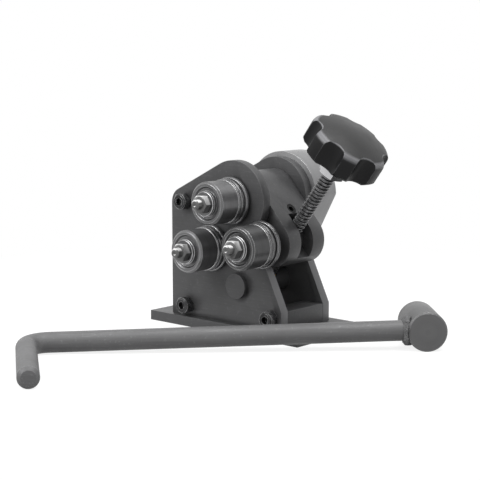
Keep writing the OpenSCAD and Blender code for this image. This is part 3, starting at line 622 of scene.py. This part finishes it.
def coated_steel(name, base, cut_edges=0.0, inside=0.0):
    """Dark satin coat with rolled lines, blotches and specks; low down, cut edges may be paler, and the
    inside may be paler as painted fill light.
    """
    mat = Finish(name, base, metallic=0.35, roughness=0.42)
    metal = mat.group("Handled metal")
    edge = mat.group("Worn edges", Reach=0.9 * MM)["Edge"]
    lines = mat.group("Drawn lines")
    tone = mat.cloud(metal["Blotch"], 0.86, 1.13)
    tone = mat.blend(mat.spread(lines["Height"], 0.3, 0.7, 0.0, 0.5), tone, shade(base, 0.78))
    tone = mat.tint(tone, lines["Scratch"], 0.3, 1.6)
    tone = mat.tint(tone, metal["Speck"], 0.35, 1.7)
    tone = mat.tint(tone, edge, 0.55, 2.6)
    if cut_edges:
        side = mat.spread(mat.math("ABSOLUTE", mat.facing(REARWARD)), 0.7, 0.3)
        low = mat.math("MULTIPLY", side, mat.below(PALE_TOP, PALE_FADE))
        tone = mat.tint(tone, low, cut_edges, 2.4)
    # Painted fill light: faces towards the front are made paler low down.
    if inside:
        front = mat.spread(mat.facing(REARWARD), -0.7, -0.95)
        low = mat.math("MULTIPLY", front, mat.below(PALE_TOP, PALE_FADE))
        tone = mat.blend(low, tone, shade(base, inside))
    rough = mat.gloss(metal["Blotch"], 0.05, 0.08)
    return mat.done(tone, rough, mat.bump(metal["Grain"], 0.22, 0.12 * MM))


def turned_metal(
    name, base, centre, roughness, rings, depth=0.25, contrast=0.16, metallic=0.55, turn=0.0,
):
    """Metal with the fine rings of a lathe about one of the axes."""
    mat = Finish(name, base, metallic, roughness, centre, turn)
    ring = mat.group("Turned rings", Rings=rings)
    metal = mat.group("Handled metal", Size=1.4)
    edge = mat.group("Worn edges", Reach=0.7 * MM, Break=90.0)["Edge"]
    tone = mat.cloud(mat.spread(ring["Tint"], 0.35, 0.65), 1.0 - contrast, 1.0 + contrast)
    tone = mat.tint(tone, metal["Blotch"], 0.25, 0.8)
    # Paler edges: wear, and a painted highlight along the chamfers.
    tone = mat.tint(tone, edge, 0.8, 4.0)
    grooves = mat.spread(ring["Height"], 0.3, 0.7, -0.04, 0.05)
    rough = mat.math("ADD", grooves, mat.gloss(metal["Blotch"], 0.03, 0.06))
    return mat.done(tone, rough, mat.bump(ring["Height"], depth, 0.05 * MM))


def plated_metal(name, base, roughness=0.17, painted_shade_side=None, painted_shade=0.2, metallic=1.0):
    """Bright plate with soft clouds in its gloss, darker as painted shade where it faces one way."""
    mat = Finish(name, base, metallic, roughness)
    metal = mat.group("Handled metal", Size=2.2)
    edge = mat.group("Worn edges", Reach=0.5 * MM)["Edge"]
    tone = mat.cloud(metal["Blotch"], 0.85, 1.1)
    tone = mat.tint(tone, edge, 0.7, 2.6)
    # Painted shade on the faces that look along one side.
    if painted_shade_side:
        tone = mat.blend(mat.spread(mat.facing(painted_shade_side), 0.1, 0.4), tone, shade(base, painted_shade))
    rough = mat.gloss(metal["Blotch"], 0.05, 0.1)
    return mat.done(tone, rough, mat.bump(metal["Grain"], 0.08, 0.05 * MM))


def oiled_black(name, base, roughness=0.36, wear=0.9):
    """Black oxide with an oily gloss and worn corners."""
    mat = Finish(name, base, metallic=0.6, roughness=roughness)
    metal = mat.group("Handled metal", Size=2.0)
    edge = mat.group("Worn edges", Reach=0.9 * MM, Break=260.0)["Edge"]
    tone = mat.cloud(metal["Blotch"], 0.7, 1.5)
    tone = mat.blend(mat.math("MULTIPLY", edge, wear), tone, BARE_STEEL)
    rough = mat.gloss(metal["Blotch"], 0.1, 0.1)
    return mat.done(tone, rough, mat.bump(metal["Grain"], 0.15, 0.06 * MM))


def moulded_plastic(name, base, axis, rim):
    """Black plastic with the fine orange peel of its mould, and a painted highlight as a paler band round
    its upper rim.
    """
    mat = Finish(name, base, metallic=0.0, roughness=0.38)
    metal = mat.group("Handled metal", Size=1.2)
    edge = mat.group("Worn edges", Reach=1.3 * MM)["Edge"]
    tone = mat.cloud(metal["Blotch"], 0.85, 1.25)
    # Painted highlight: a paler band on the faces that slope between the walls and the crown, and along the
    # edges.
    up = mat.facing(axis)
    highlight_band = mat.math("MULTIPLY", mat.spread(up, 0.18, 0.5), mat.spread(up, 0.95, 0.8))
    highlight_band = mat.math("MAXIMUM", highlight_band, mat.math("MULTIPLY", edge, 0.6))
    highlight_band = mat.math("MULTIPLY", highlight_band, mat.spread(metal["Blotch"], 0.0, 1.0, 0.7, 1.0))
    tone = mat.blend(highlight_band, tone, shade(base, rim))
    peel = mat.noise(mat.where, 900.0, detail=2.0)
    mat.set("Specular IOR Level", mat.spread(up, 0.0, 0.5, 0.16, 0.36))
    rough = mat.gloss(metal["Blotch"], 0.04, 0.1)
    return mat.done(tone, rough, mat.bump(peel, 0.25, 0.08 * MM))


def drawn_bar(name, base):
    """Drawn steel bar with lines along it, scratches and dull patches."""
    along = math.atan2(CRANK_OUT.y, CRANK_OUT.x) + math.pi / 2.0
    mat = Finish(name, base, metallic=0.08, roughness=0.46, turn=along)
    lines = mat.group("Drawn lines")
    metal = mat.group("Handled metal")
    tone = mat.cloud(mat.spread(lines["Height"], 0.35, 0.65), 0.93, 1.07)
    tone = mat.tint(tone, metal["Blotch"], 0.3, 0.72)
    tone = mat.tint(tone, lines["Scratch"], 0.25, 1.5)
    tone = mat.tint(tone, metal["Speck"], 0.3, 1.8)
    mat.set("Specular IOR Level", 0.3)
    normal = mat.bump(lines["Height"], 0.1, 0.04 * MM)
    return mat.done(tone, mat.gloss(metal["Blotch"], 0.04, 0.1), normal)


AXES = {"drive": DRIVE, "lower": LOWER, "side": SIDE, "screw": SCREW_FOOT, "hub": HUB}
ON_AXIS = {
    "drive": (
        "drive_shaft", "drive_roller", "drive_key", "drive_washer", "drive_bolt", "pivot_sleeve",
        "arm_bushes", "front_bush", "bearing_housing", "bearing_outer_ring", "bearing_inner_ring",
        "bearing_balls", "bearing_cage",
    ),
    "lower": ("lower_roller", "lower_axle", "lower_washer", "lower_bolt", "lower_bush", "lower_axle_nut"),
    "side": ("side_roller", "side_axle", "side_washer", "side_bolt", "side_bush"),
    "screw": ("thrust_washer", "adjusting_screw", "lock_nut"),
    "hub": ("crank_hub",),
}
AXIS_OF = {node: axis for axis, members in ON_AXIS.items() for node in members}
PLAIN = {
    "cheek_steel": coated_steel, "arm_steel": coated_steel,
    "black_oxide": oiled_black, "crank_steel": drawn_bar,
}
END_BOLTS = ("drive_bolt", "lower_bolt", "side_bolt")

REARWARD = (0.0, 1.0, 0.0)
BARE_STEEL = (0.55, 0.55, 0.56, 1.0)
# Below this height the cheeks' cut edges are paler, and the rear one's inner side is paler as painted fill
# light.
PALE_TOP = 75.0 * MM
PALE_FADE = 15.0 * MM
CUT_EDGES = 0.8
# How much paler each cheek's inner side is made, as painted fill light; 0 for none.
PAINTED_INSIDE_LIGHT = {"front_plate": 0.0, "rear_plate": 2.2}
OWN_FINISH = (*PAINTED_INSIDE_LIGHT, "arm_plug")
# How much darker the arm's plug is: painted shade, so that it reads as a dark hole.
PLUG_PAINTED_SHADE = 0.3
HUB_TONE = 0.75
DRUM_TONE = 0.84
ZINC_TONE = 0.6
# How much paler the lock nut is than the other zinc: painted light on its lit flats.
NUT_PAINTED_LIGHT = 2.6
# Lighter and darker copies of the turned steel on each axis: painted light and shade, as the rollers are
# lit unevenly.
STEEL_PAINTED_LIGHT = {"drive": 1.3, "lower": 1.5, "side": 0.7}
# Painted shade: the nut is darker on one flat, and the end bolts on all but their upper sides, which carry
# a painted highlight.
NUT_SHADE_SIDE = (0.87, 0.30, -0.38)
BOLT_SHADE_SIDE = (0.6, -0.57, -0.56)


def finish_for(node):
    """The material of a node, made once for each finish and axis."""
    slot = SLOT_OF[node]
    axis = AXIS_OF.get(node)
    name = "finish_" + (node if node in OWN_FINISH else "_".join(filter(None, (slot, axis))))
    found = bpy.data.materials.get(name)
    if found:
        return found
    look = bpy.context.scene.roller_colours
    base = tuple(getattr(look, slot))
    spot = AXES.get(axis)
    if axis == "hub":
        across = math.atan2(-CRANK_OUT.x, CRANK_OUT.y)
        base = shade(base, HUB_TONE)
        return turned_metal(name, base, spot, roughness=0.46, rings=700.0, metallic=0.12, turn=across)
    # The lock nut: paler as painted light, and darker on one flat as painted shade.
    if node == "lock_nut":
        return plated_metal(name, shade(base, NUT_PAINTED_LIGHT), painted_shade_side=NUT_SHADE_SIDE)
    if node in PAINTED_INSIDE_LIGHT:
        return coated_steel(name, base, CUT_EDGES, PAINTED_INSIDE_LIGHT[node])
    # The arm's plug, darkened as painted shade.
    if node == "arm_plug":
        return oiled_black(name, shade(base, PLUG_PAINTED_SHADE), roughness=0.6, wear=0.09)
    if slot in PLAIN:
        return PLAIN[slot](name, base)
    if slot == "knob_plastic":
        return moulded_plastic(name, base, SCREW_AXIS, look.rim_plastic)
    if slot == "zinc":
        return plated_metal(name, shade(base, ZINC_TONE))
    if slot == "bright_alloy":
        base = shade(base, DRUM_TONE)
        return turned_metal(name, base, spot, roughness=0.34, rings=900.0, depth=0.2, contrast=0.08)
    if slot == "bearing_steel":
        return turned_metal(name, base, spot, roughness=0.16, rings=2500.0, depth=0.06, contrast=0.06)
    if slot == "bronze":
        return turned_metal(name, base, spot, roughness=0.36, rings=1200.0)
    # Turned steel, lighter or darker on each axis as painted light and shade.
    return turned_metal(name, shade(base, STEEL_PAINTED_LIGHT.get(axis, 1.0)), spot, roughness=0.3, rings=1400.0)


def rim_for(node):
    """The finish of a node's rounded edges, paler than its faces: partly rubbed metal and partly a painted
    highlight, and on the end bolts painted highlight and shade.
    """
    slot = SLOT_OF[node]
    name = "rim_bolt" if node in END_BOLTS else f"rim_{slot}"
    found = bpy.data.materials.get(name)
    if found:
        return found
    look = bpy.context.scene.roller_colours
    # The end bolts: a painted highlight on their upper sides and painted shade on the rest.
    if node in END_BOLTS:
        bright = tuple(look.rim_bolt)
        return plated_metal(name, bright, roughness=0.12, painted_shade_side=BOLT_SHADE_SIDE, painted_shade=0.13, metallic=0.3)
    if slot == "crank_steel":
        return plated_metal(name, shade(tuple(look.crank_steel), look.rim_crank), roughness=0.4)
    return plated_metal(name, tuple(look.rim_steel), roughness=0.26)


# Operators, one for each piece or group of like pieces


class ROLLER_OT_stage(bpy.types.Operator):
    """Floor, white surround, soft lamps and the camera"""

    bl_idname = "roller.stage"
    bl_label = "Stage"

    # Name, power, width and place of each lamp, in metres
    LAMPS = (
        ("key_lamp", "key_power", 0.9, (-0.35, -1.05, 0.95)),
        ("fill_lamp", "fill_power", 0.8, (1.15, -0.15, 0.55)),
        ("top_lamp", "top_power", 1.0, (0.40, 0.05, 1.25)),
    )
    LAMP_TARGET = Vector((0.02, 0.0, 0.08))
    SENSOR_WIDTH = 36.0
    NEAR_CLIP = 0.05
    FLOOR_CUTS = 6
    FADE_START = 0.45
    CLOUD_SCALE = 3.0
    CLOUD_DEPTH = 0.01

    def execute(self, context):
        look = context.scene.roller_stage
        context.scene.view_settings.view_transform = "Standard"
        self.floor(look)
        self.surround(context.scene, look)
        for name, watts, side, spot in self.LAMPS:
            self.lamp(name, getattr(look, watts), side, spot)
        self.camera(context.scene, look)
        return {"FINISHED"}

    def floor(self, look):
        """Pale floor that turns white away from the machine."""
        floor = primitive(bpy.ops.mesh.primitive_plane_add, "floor", size=2.0 * look.floor_half)
        edit_all(floor, "FACE")
        bpy.ops.mesh.subdivide(number_cuts=self.FLOOR_CUTS)
        object_mode()
        material = bpy.data.materials.new("pale_floor")
        material.use_nodes = True
        n = Nodes(material.node_tree)
        material.node_tree.nodes.clear()
        where = n.add("ShaderNodeTexCoord").outputs["Object"]
        away = n.make("ShaderNodeVectorMath", {0: where}, "Value", operation="LENGTH")
        clear = n.spread(away, self.FADE_START * look.floor_clear, look.floor_clear)
        pale = tuple(look.floor_colour)
        darker, lighter = shade(pale, 1.0 - self.CLOUD_DEPTH), shade(pale, 1.0 + self.CLOUD_DEPTH)
        tone = n.blend(n.noise(where, self.CLOUD_SCALE), darker, lighter)
        matt = n.make("ShaderNodeBsdfDiffuse", {"Color": tone})
        seen = n.seen()
        glow = n.make("ShaderNodeEmission", {"Strength": n.math("MULTIPLY", seen, look.floor_lift)})
        near = n.make("ShaderNodeAddShader", {0: matt, 1: glow})
        white = n.make("ShaderNodeEmission", {"Strength": 1.0})
        mix = n.make("ShaderNodeMixShader", {0: n.math("MULTIPLY", seen, clear), 1: near, 2: white})
        n.put(n.add("ShaderNodeOutputMaterial"), "Surface", mix)
        floor.data.materials.append(material)

    def surround(self, scene, look):
        """White to look at, weaker as a light."""
        world = bpy.data.worlds.new("white_surround")
        scene.world = world
        world.use_nodes = True
        n = Nodes(world.node_tree)
        ground = next(x for x in world.node_tree.nodes if x.type == "BACKGROUND")
        n.put(ground, "Color", (1.0, 1.0, 1.0, 1.0))
        n.put(ground, "Strength", n.spread(n.seen(), 0.0, 1.0, look.sky, 1.0))

    def lamp(self, name, watts, side, spot):
        """Round soft lamp that points at the machine."""
        start_afresh()
        bpy.ops.object.light_add(type="AREA", location=spot)
        lamp = bpy.context.active_object
        lamp.name = name
        lamp.data.shape = "DISK"
        lamp.data.size = side
        lamp.data.energy = watts
        lamp.rotation_euler = (self.LAMP_TARGET - Vector(spot)).to_track_quat("-Z", "Y").to_euler()

    def camera(self, scene, look):
        """Camera with the photograph's view."""
        start_afresh()
        bpy.ops.object.camera_add(location=look.camera_place)
        camera = bpy.context.active_object
        camera.name = "photo_camera"
        camera.rotation_euler = (math.pi / 2.0 - look.camera_down, 0.0, look.camera_round)
        camera.data.sensor_width = self.SENSOR_WIDTH
        camera.data.lens = look.camera_lens
        camera.data.clip_start = self.NEAR_CLIP
        camera.data.dof.use_dof = False
        scene.camera = camera


class ROLLER_OT_plates(bpy.types.Operator):
    """Cheeks, base and spacers with softened edges"""

    bl_idname = "roller.plates"
    bl_label = "Plates and spacers"

    PARTS = ("base_plate", "front_plate", "rear_plate", "lower_left_bar", "lower_right_bar", "thrust_bar")

    def execute(self, context):
        for node in self.PARTS:
            soften_node(node, settings().edge_round)
        return {"FINISHED"}


class ROLLER_OT_arm(bpy.types.Operator):
    """Swinging arm with softened edges"""

    bl_idname = "roller.arm"
    bl_label = "Swinging arm"

    def execute(self, context):
        soften_node("swing_arm", settings().arm_round)
        return {"FINISHED"}


class ROLLER_OT_drum(bpy.types.Operator):
    """Bearing housing with softened edges"""

    bl_idname = "roller.drum"
    bl_label = "Bearing housing"

    def execute(self, context):
        soften_node("bearing_housing", settings().drum_round)
        return {"FINISHED"}


class ROLLER_OT_rollers(bpy.types.Operator):
    """Rollers, bushes and washers with bright rounded rims"""

    bl_idname = "roller.rollers"
    bl_label = "Rollers and washers"

    PARTS = (
        "drive_roller", "lower_roller", "side_roller", "lower_bush", "side_bush",
        "drive_washer", "lower_washer", "side_washer",
    )

    def execute(self, context):
        for node in self.PARTS:
            soften_node(node, settings().rim_round, rim=True)
        return {"FINISHED"}


class ROLLER_OT_bolts(bpy.types.Operator):
    """End bolts of the rollers with centre dimples, and a painted highlight on their upper sides"""

    bl_idname = "roller.bolts"
    bl_label = "End bolts"

    # How far a dimple's cone is set in, as a share of its radius
    INSET = 0.45

    def execute(self, context):
        s = settings()
        for node in END_BOLTS:
            piece = copy_node(node, f"{node}_shape")
            coat(piece, rim_for(node))
            front = min(v.co.y for v in piece.data.vertices)
            middle = AXES[AXIS_OF[node]]
            self.dimple(piece, s, (middle.x, front + self.INSET * s.dimple_r, middle.z))
            soften(piece, s.bolt_round)
            dress(piece, node)
        return {"FINISHED"}

    def dimple(self, piece, s, spot):
        """Cone sunk in the front end of a bolt."""
        tool = primitive(
            bpy.ops.mesh.primitive_cone_add, "dimple_cutter", vertices=32, radius1=s.dimple_r, radius2=0.0,
            depth=s.dimple_r, location=spot, rotation=(-math.pi / 2.0, 0.0, 0.0),
        )
        cut(piece, tool)


class ROLLER_OT_screw(bpy.types.Operator):
    """Adjusting screw with its cut thread"""

    bl_idname = "roller.screw"
    bl_label = "Adjusting screw"

    # Sections of the thread in one turn, its depth in the core, and its widths as shares of the lead
    TURN_STEPS = 40
    SINK = 0.2 * MM
    BASE = 0.72
    CREST = 0.30
    FOOT_CHAMFER = 1.0 * MM
    FOOT_GAP = 1.0 * MM

    def execute(self, context):
        s = settings()
        root = s.thread_r - s.thread_depth
        core = lathe("screw_core", [
            (0.0, s.screw_foot_from),
            (s.screw_foot_r - self.FOOT_CHAMFER, s.screw_foot_from),
            (s.screw_foot_r, s.screw_foot_from + self.FOOT_CHAMFER),
            (s.screw_foot_r, s.thread_from - self.FOOT_GAP),
            (root, s.thread_from - self.FOOT_GAP),
            (root, s.screw_top),
            (0.0, s.screw_top),
        ], steps=48)
        piece = join("adjusting_screw_thread", [core, self.ridge(s, root)])
        smooth(piece, degrees=40.0)
        place(piece, SCREW_FOOT, SCREW_AXIS)
        base = tuple(context.scene.roller_colours.thread_steel)
        coat(piece, oiled_black("finish_thread", base, roughness=0.3))
        dress(piece, "adjusting_screw")
        return {"FINISHED"}

    def ridge(self, s, root):
        """One thread section, swept along the helix and closed at both ends."""
        upright = (math.pi / 2.0, 0.0, 0.0)
        ridge = primitive(bpy.ops.mesh.primitive_plane_add, "screw_ridge", size=1.0, rotation=upright)
        edit_all(ridge)
        deep = s.thread_depth + self.SINK
        bpy.ops.transform.resize(value=(deep, 1.0, self.BASE * s.thread_lead))
        middle = root - self.SINK + deep / 2.0
        height = s.thread_from + s.thread_lead / 2.0
        bpy.ops.transform.translate(value=(middle, 0.0, height))
        select_where(ridge, lambda v: v.co.x > middle)
        bpy.ops.transform.resize(
            value=(1.0, 1.0, self.CREST / self.BASE), center_override=(0.0, 0.0, height),
        )
        turns = int((s.thread_to - s.thread_from) / s.thread_lead)
        apply_modifier(
            ridge, "SCREW", axis="Z", angle=2.0 * math.pi, screw_offset=s.thread_lead,
            iterations=turns, steps=self.TURN_STEPS, render_steps=self.TURN_STEPS, use_merge_vertices=False,
        )
        edit_all(ridge)
        bpy.ops.mesh.remove_doubles(threshold=MERGE_GAP)
        bpy.ops.mesh.select_all(action="SELECT")
        bpy.ops.mesh.fill_holes(sides=4)
        close_up(ridge)
        return ridge


class ROLLER_OT_knob(bpy.types.Operator):
    """Star knob with a domed crown and rounded lobes"""

    bl_idname = "roller.knob"
    bl_label = "Star knob"

    FOOT_CHAMFER = 2.5 * MM
    CROWN_DROP = 0.2 * MM
    NECK_CHAMFER = 0.6 * MM
    NECK_FLARE = 2.0 * MM
    NECK_SINK = 0.5 * MM
    RIM_TURN = math.radians(72.0)
    RIM_STEPS = 6
    FLARE_RISE = 0.8 * MM
    FLARE_TURN = math.radians(70.0)
    FLARE_STEPS = 7
    # Points of the crown, as shares of its radius
    DOME_AT = (0.86, 0.72, 0.55, 0.36, 0.18, 0.0)

    def execute(self, context):
        s = settings()
        low, rim = s.knob_from, s.knob_from + s.knob_t
        crown = rim - self.CROWN_DROP
        inner = s.knob_r - s.knob_rim
        rim_arc = arc((inner, rim - s.knob_rim), s.knob_rim, self.RIM_TURN, self.RIM_STEPS)
        dome = [(inner * x, crown + s.knob_crown * (1.0 - x * x)) for x in self.DOME_AT]
        piece = lathe("screw_knob_star", [
            (0.0, low),
            (s.knob_r - self.FOOT_CHAMFER, low),
            (s.knob_r, low + self.FOOT_CHAMFER),
            *rim_arc,
            *dome,
        ], steps=120)
        coat(piece, finish_for("screw_knob"))
        reach = s.knob_r - s.hollow_d + s.hollow_r
        hollow = self.hollow(s, low, rim)
        for i in range(s.lobe_count):
            turn = s.lobe_turn + 2.0 * math.pi * i / s.lobe_count
            tool = lathe("hollow_cutter", hollow)
            take(tool)
            tool.location = (reach * math.cos(turn), reach * math.sin(turn), 0.0)
            set_down()
            cut(piece, tool)
        close_up(piece)
        soften(piece, s.knob_edge, segments=4, degrees=28.0)
        foot = low - s.knob_neck_h
        neck = lathe("screw_knob_neck", [
            (0.0, foot),
            (s.knob_neck_r - self.NECK_CHAMFER, foot),
            (s.knob_neck_r, foot + self.NECK_CHAMFER),
            (s.knob_neck_r + self.NECK_FLARE / 4.0, low - self.NECK_FLARE),
            (s.knob_neck_r + self.NECK_FLARE, low + self.NECK_SINK),
            (0.0, low + self.NECK_SINK),
        ], steps=64)
        smooth(neck)
        piece = join("screw_knob_shape", [piece, neck])
        # The solid's star is drawn with X across the screw, in the plane of the cheeks.
        place(piece, SCREW_FOOT, SCREW_AXIS)
        dress(piece, "screw_knob")
        return {"FINISHED"}

    def hollow(self, s, low, rim):
        """Profile of a hollow's cutter: straight at first, then flared out under the crown."""
        flare = s.hollow_flare
        start = rim + self.FLARE_RISE - flare
        lip = arc((s.hollow_r + flare, start), flare, self.FLARE_TURN, self.FLARE_STEPS, side=-1.0)
        wide = lip[-1][0] + 2.0 * flare
        high = lip[-1][1] + 2.0 * flare / math.tan(self.FLARE_TURN)
        above = rim + s.knob_crown + 2.0 * flare
        return [
            (0.0, low - flare), (s.hollow_r, low - flare), *lip,
            (wide, high), (wide, above), (0.0, above),
        ]


class ROLLER_OT_cap_screws(bpy.types.Operator):
    """Socket head screws of the front cheek, with knurled heads"""

    bl_idname = "roller.cap_screws"
    bl_label = "Cheek screws"

    SCREWS = 3
    NEAR = 0.05 * MM
    CHAMFER = 0.9 * MM
    KEY_DEPTH = 4.4 * MM

    def execute(self, context):
        s = settings()
        heads = []
        for spot in self.spots(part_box("frame_screws_front")[0].y):
            head = self.head(s)
            place(head, (spot.x, spot.y + s.cap_h, spot.z), (0.0, -1.0, 0.0))
            heads.append(head)
        piece = join("frame_screws_front_shape", heads)
        dress(piece, "frame_screws_front")
        return {"FINISHED"}

    def spots(self, front):
        """Middle of each screw's front, from clusters of the solid's foremost vertices."""
        tips = [v.co for v in NODES["frame_screws_front"].data.vertices if v.co.y < front + self.NEAR]
        apart = 4.0 * settings().cap_r
        middles = []
        while tips:
            first = tips[0]
            near = [p for p in tips if (p - first).length < apart]
            tips = [p for p in tips if (p - first).length >= apart]
            xs, zs = [p.x for p in near], [p.z for p in near]
            middles.append(Vector(((min(xs) + max(xs)) / 2.0, front, (min(zs) + max(zs)) / 2.0)))
        if len(middles) != self.SCREWS:
            raise RuntimeError(f"{self.SCREWS} cheek screws expected, {len(middles)} found")
        return middles

    def head(self, s):
        """Chamfered head with knurl ribs and a hexagon socket, made about Z."""
        body_r = s.cap_r - s.rib_h
        head = primitive(
            bpy.ops.mesh.primitive_cylinder_add, "cap_head", vertices=2 * s.cap_ribs, radius=body_r,
            depth=s.cap_h, location=(0.0, 0.0, s.cap_h / 2.0),
        )
        select_where(head, lambda f: f.normal.z > 0.9, "FACE")
        bpy.ops.mesh.inset(thickness=self.CHAMFER, depth=0.0)
        step = math.pi / s.cap_ribs

        def is_corner(v):
            return v.co.z > s.cap_h - self.NEAR and Vector(v.co.xy).length > body_r - self.NEAR

        def is_rib(f):
            turn = math.atan2(f.center.y, f.center.x) % (2.0 * math.pi)
            return abs(f.normal.z) < 0.1 and int(turn / step) % 2 == 0

        select_where(head, is_corner)
        bpy.ops.transform.translate(value=(0.0, 0.0, -self.CHAMFER))
        select_where(head, is_rib, "FACE")
        bpy.ops.mesh.extrude_region_shrink_fatten(TRANSFORM_OT_shrink_fatten={"value": s.rib_h})
        corner_r = s.cap_key / 2.0 / math.cos(math.pi / 6.0)
        tool = primitive(
            bpy.ops.mesh.primitive_cylinder_add, "key_cutter", vertices=6, radius=corner_r,
            depth=2.0 * self.KEY_DEPTH, location=(0.0, 0.0, s.cap_h),
        )
        cut(head, tool)
        close_up(head)
        coat(head, finish_for("frame_screws_front"), rim_for("frame_screws_front"))
        soften(head, s.cap_round, segments=2, degrees=40.0)
        return head


class ROLLER_OT_crank(bpy.types.Operator):
    """Loose crank: rounded hub and grip, lumpy weld between bar and hub"""

    bl_idname = "roller.crank"
    bl_label = "Loose crank"

    def execute(self, context):
        s = settings()
        soften_node("crank_rod", s.grip_round, rim=True, degrees=30.0)
        soften_node("crank_hub", s.hub_round, rim=True, degrees=30.0)
        self.weld(s)
        return {"FINISHED"}

    def weld(self, s):
        """Uneven bead with ripples round the bar."""
        piece = copy_node("crank_weld", "crank_weld_bead")
        edit_all(piece)
        bpy.ops.mesh.quads_convert_to_tris()
        bpy.ops.mesh.subdivide(number_cuts=2)
        low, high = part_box("crank_weld")
        middle = (low + high) / 2.0
        across = Vector((CRANK_OUT.x, CRANK_OUT.y, 0.0)).normalized()

        def far(v):
            off = v.co - middle
            return math.hypot(off.z, off.dot(across)) > s.bead_inner

        def on_ripple(v):
            off = v.co - middle
            turn = math.atan2(off.z, off.dot(across)) / (2.0 * math.pi)
            return far(v) and int(turn * s.bead_ripples + s.bead_ripples) % 2 == 0

        select_where(piece, on_ripple)
        bpy.ops.transform.shrink_fatten(value=s.bead_h)
        select_where(piece, far)
        bpy.ops.transform.vertex_random(offset=s.bead_lumps, uniform=0.0, normal=0.6, seed=5)
        bpy.ops.mesh.select_all(action="SELECT")
        bpy.ops.mesh.vertices_smooth(factor=0.4, repeat=2)
        smooth(piece, degrees=60.0)
        coat(piece, finish_for("crank_weld"))
        dress(piece, "crank_weld")


class ROLLER_OT_finishes(bpy.types.Operator):
    """Finishes of the solids that show as they are"""

    bl_idname = "roller.finishes"
    bl_label = "Finishes"

    def execute(self, context):
        for node, solid in NODES.items():
            material = finish_for(node)
            if not solid.material_slots:
                solid.data.materials.append(material)
            for slot in solid.material_slots:
                slot.material = material
        return {"FINISHED"}


class ROLLER_PT_panel(bpy.types.Panel):
    """Lists the steps and their values"""

    bl_idname = "ROLLER_PT_panel"
    bl_label = "Edge rolling machine"
    bl_space_type = "VIEW_3D"
    bl_region_type = "UI"
    bl_category = "Roller"

    def draw(self, context):
        for step in STEPS:
            self.layout.operator(step.bl_idname)
        scene = context.scene
        for holder in (scene.roller_sizes, scene.roller_colours, scene.roller_stage):
            box = self.layout.box()
            for name in holder.__annotations__:
                box.prop(holder, name)


STEPS = (
    ROLLER_OT_stage,
    ROLLER_OT_finishes,
    ROLLER_OT_plates,
    ROLLER_OT_arm,
    ROLLER_OT_drum,
    ROLLER_OT_rollers,
    ROLLER_OT_bolts,
    ROLLER_OT_screw,
    ROLLER_OT_knob,
    ROLLER_OT_cap_screws,
    ROLLER_OT_crank,
)
GROUPS = (MachineSizes, MachineColours, StageLook)
CLASSES = (*GROUPS, *STEPS, ROLLER_PT_panel)


def register():
    for cls in CLASSES:
        bpy.utils.register_class(cls)
    bpy.types.Scene.roller_sizes = bpy.props.PointerProperty(type=MachineSizes)
    bpy.types.Scene.roller_colours = bpy.props.PointerProperty(type=MachineColours)
    bpy.types.Scene.roller_stage = bpy.props.PointerProperty(type=StageLook)


def unregister():
    del bpy.types.Scene.roller_stage
    del bpy.types.Scene.roller_colours
    del bpy.types.Scene.roller_sizes
    for cls in reversed(CLASSES):
        bpy.utils.unregister_class(cls)


def main():
    register()
    for step in STEPS:
        family, name = step.bl_idname.split(".")
        getattr(getattr(bpy.ops, family), name)()
    start_afresh()


if __name__ == "__main__":
    main()
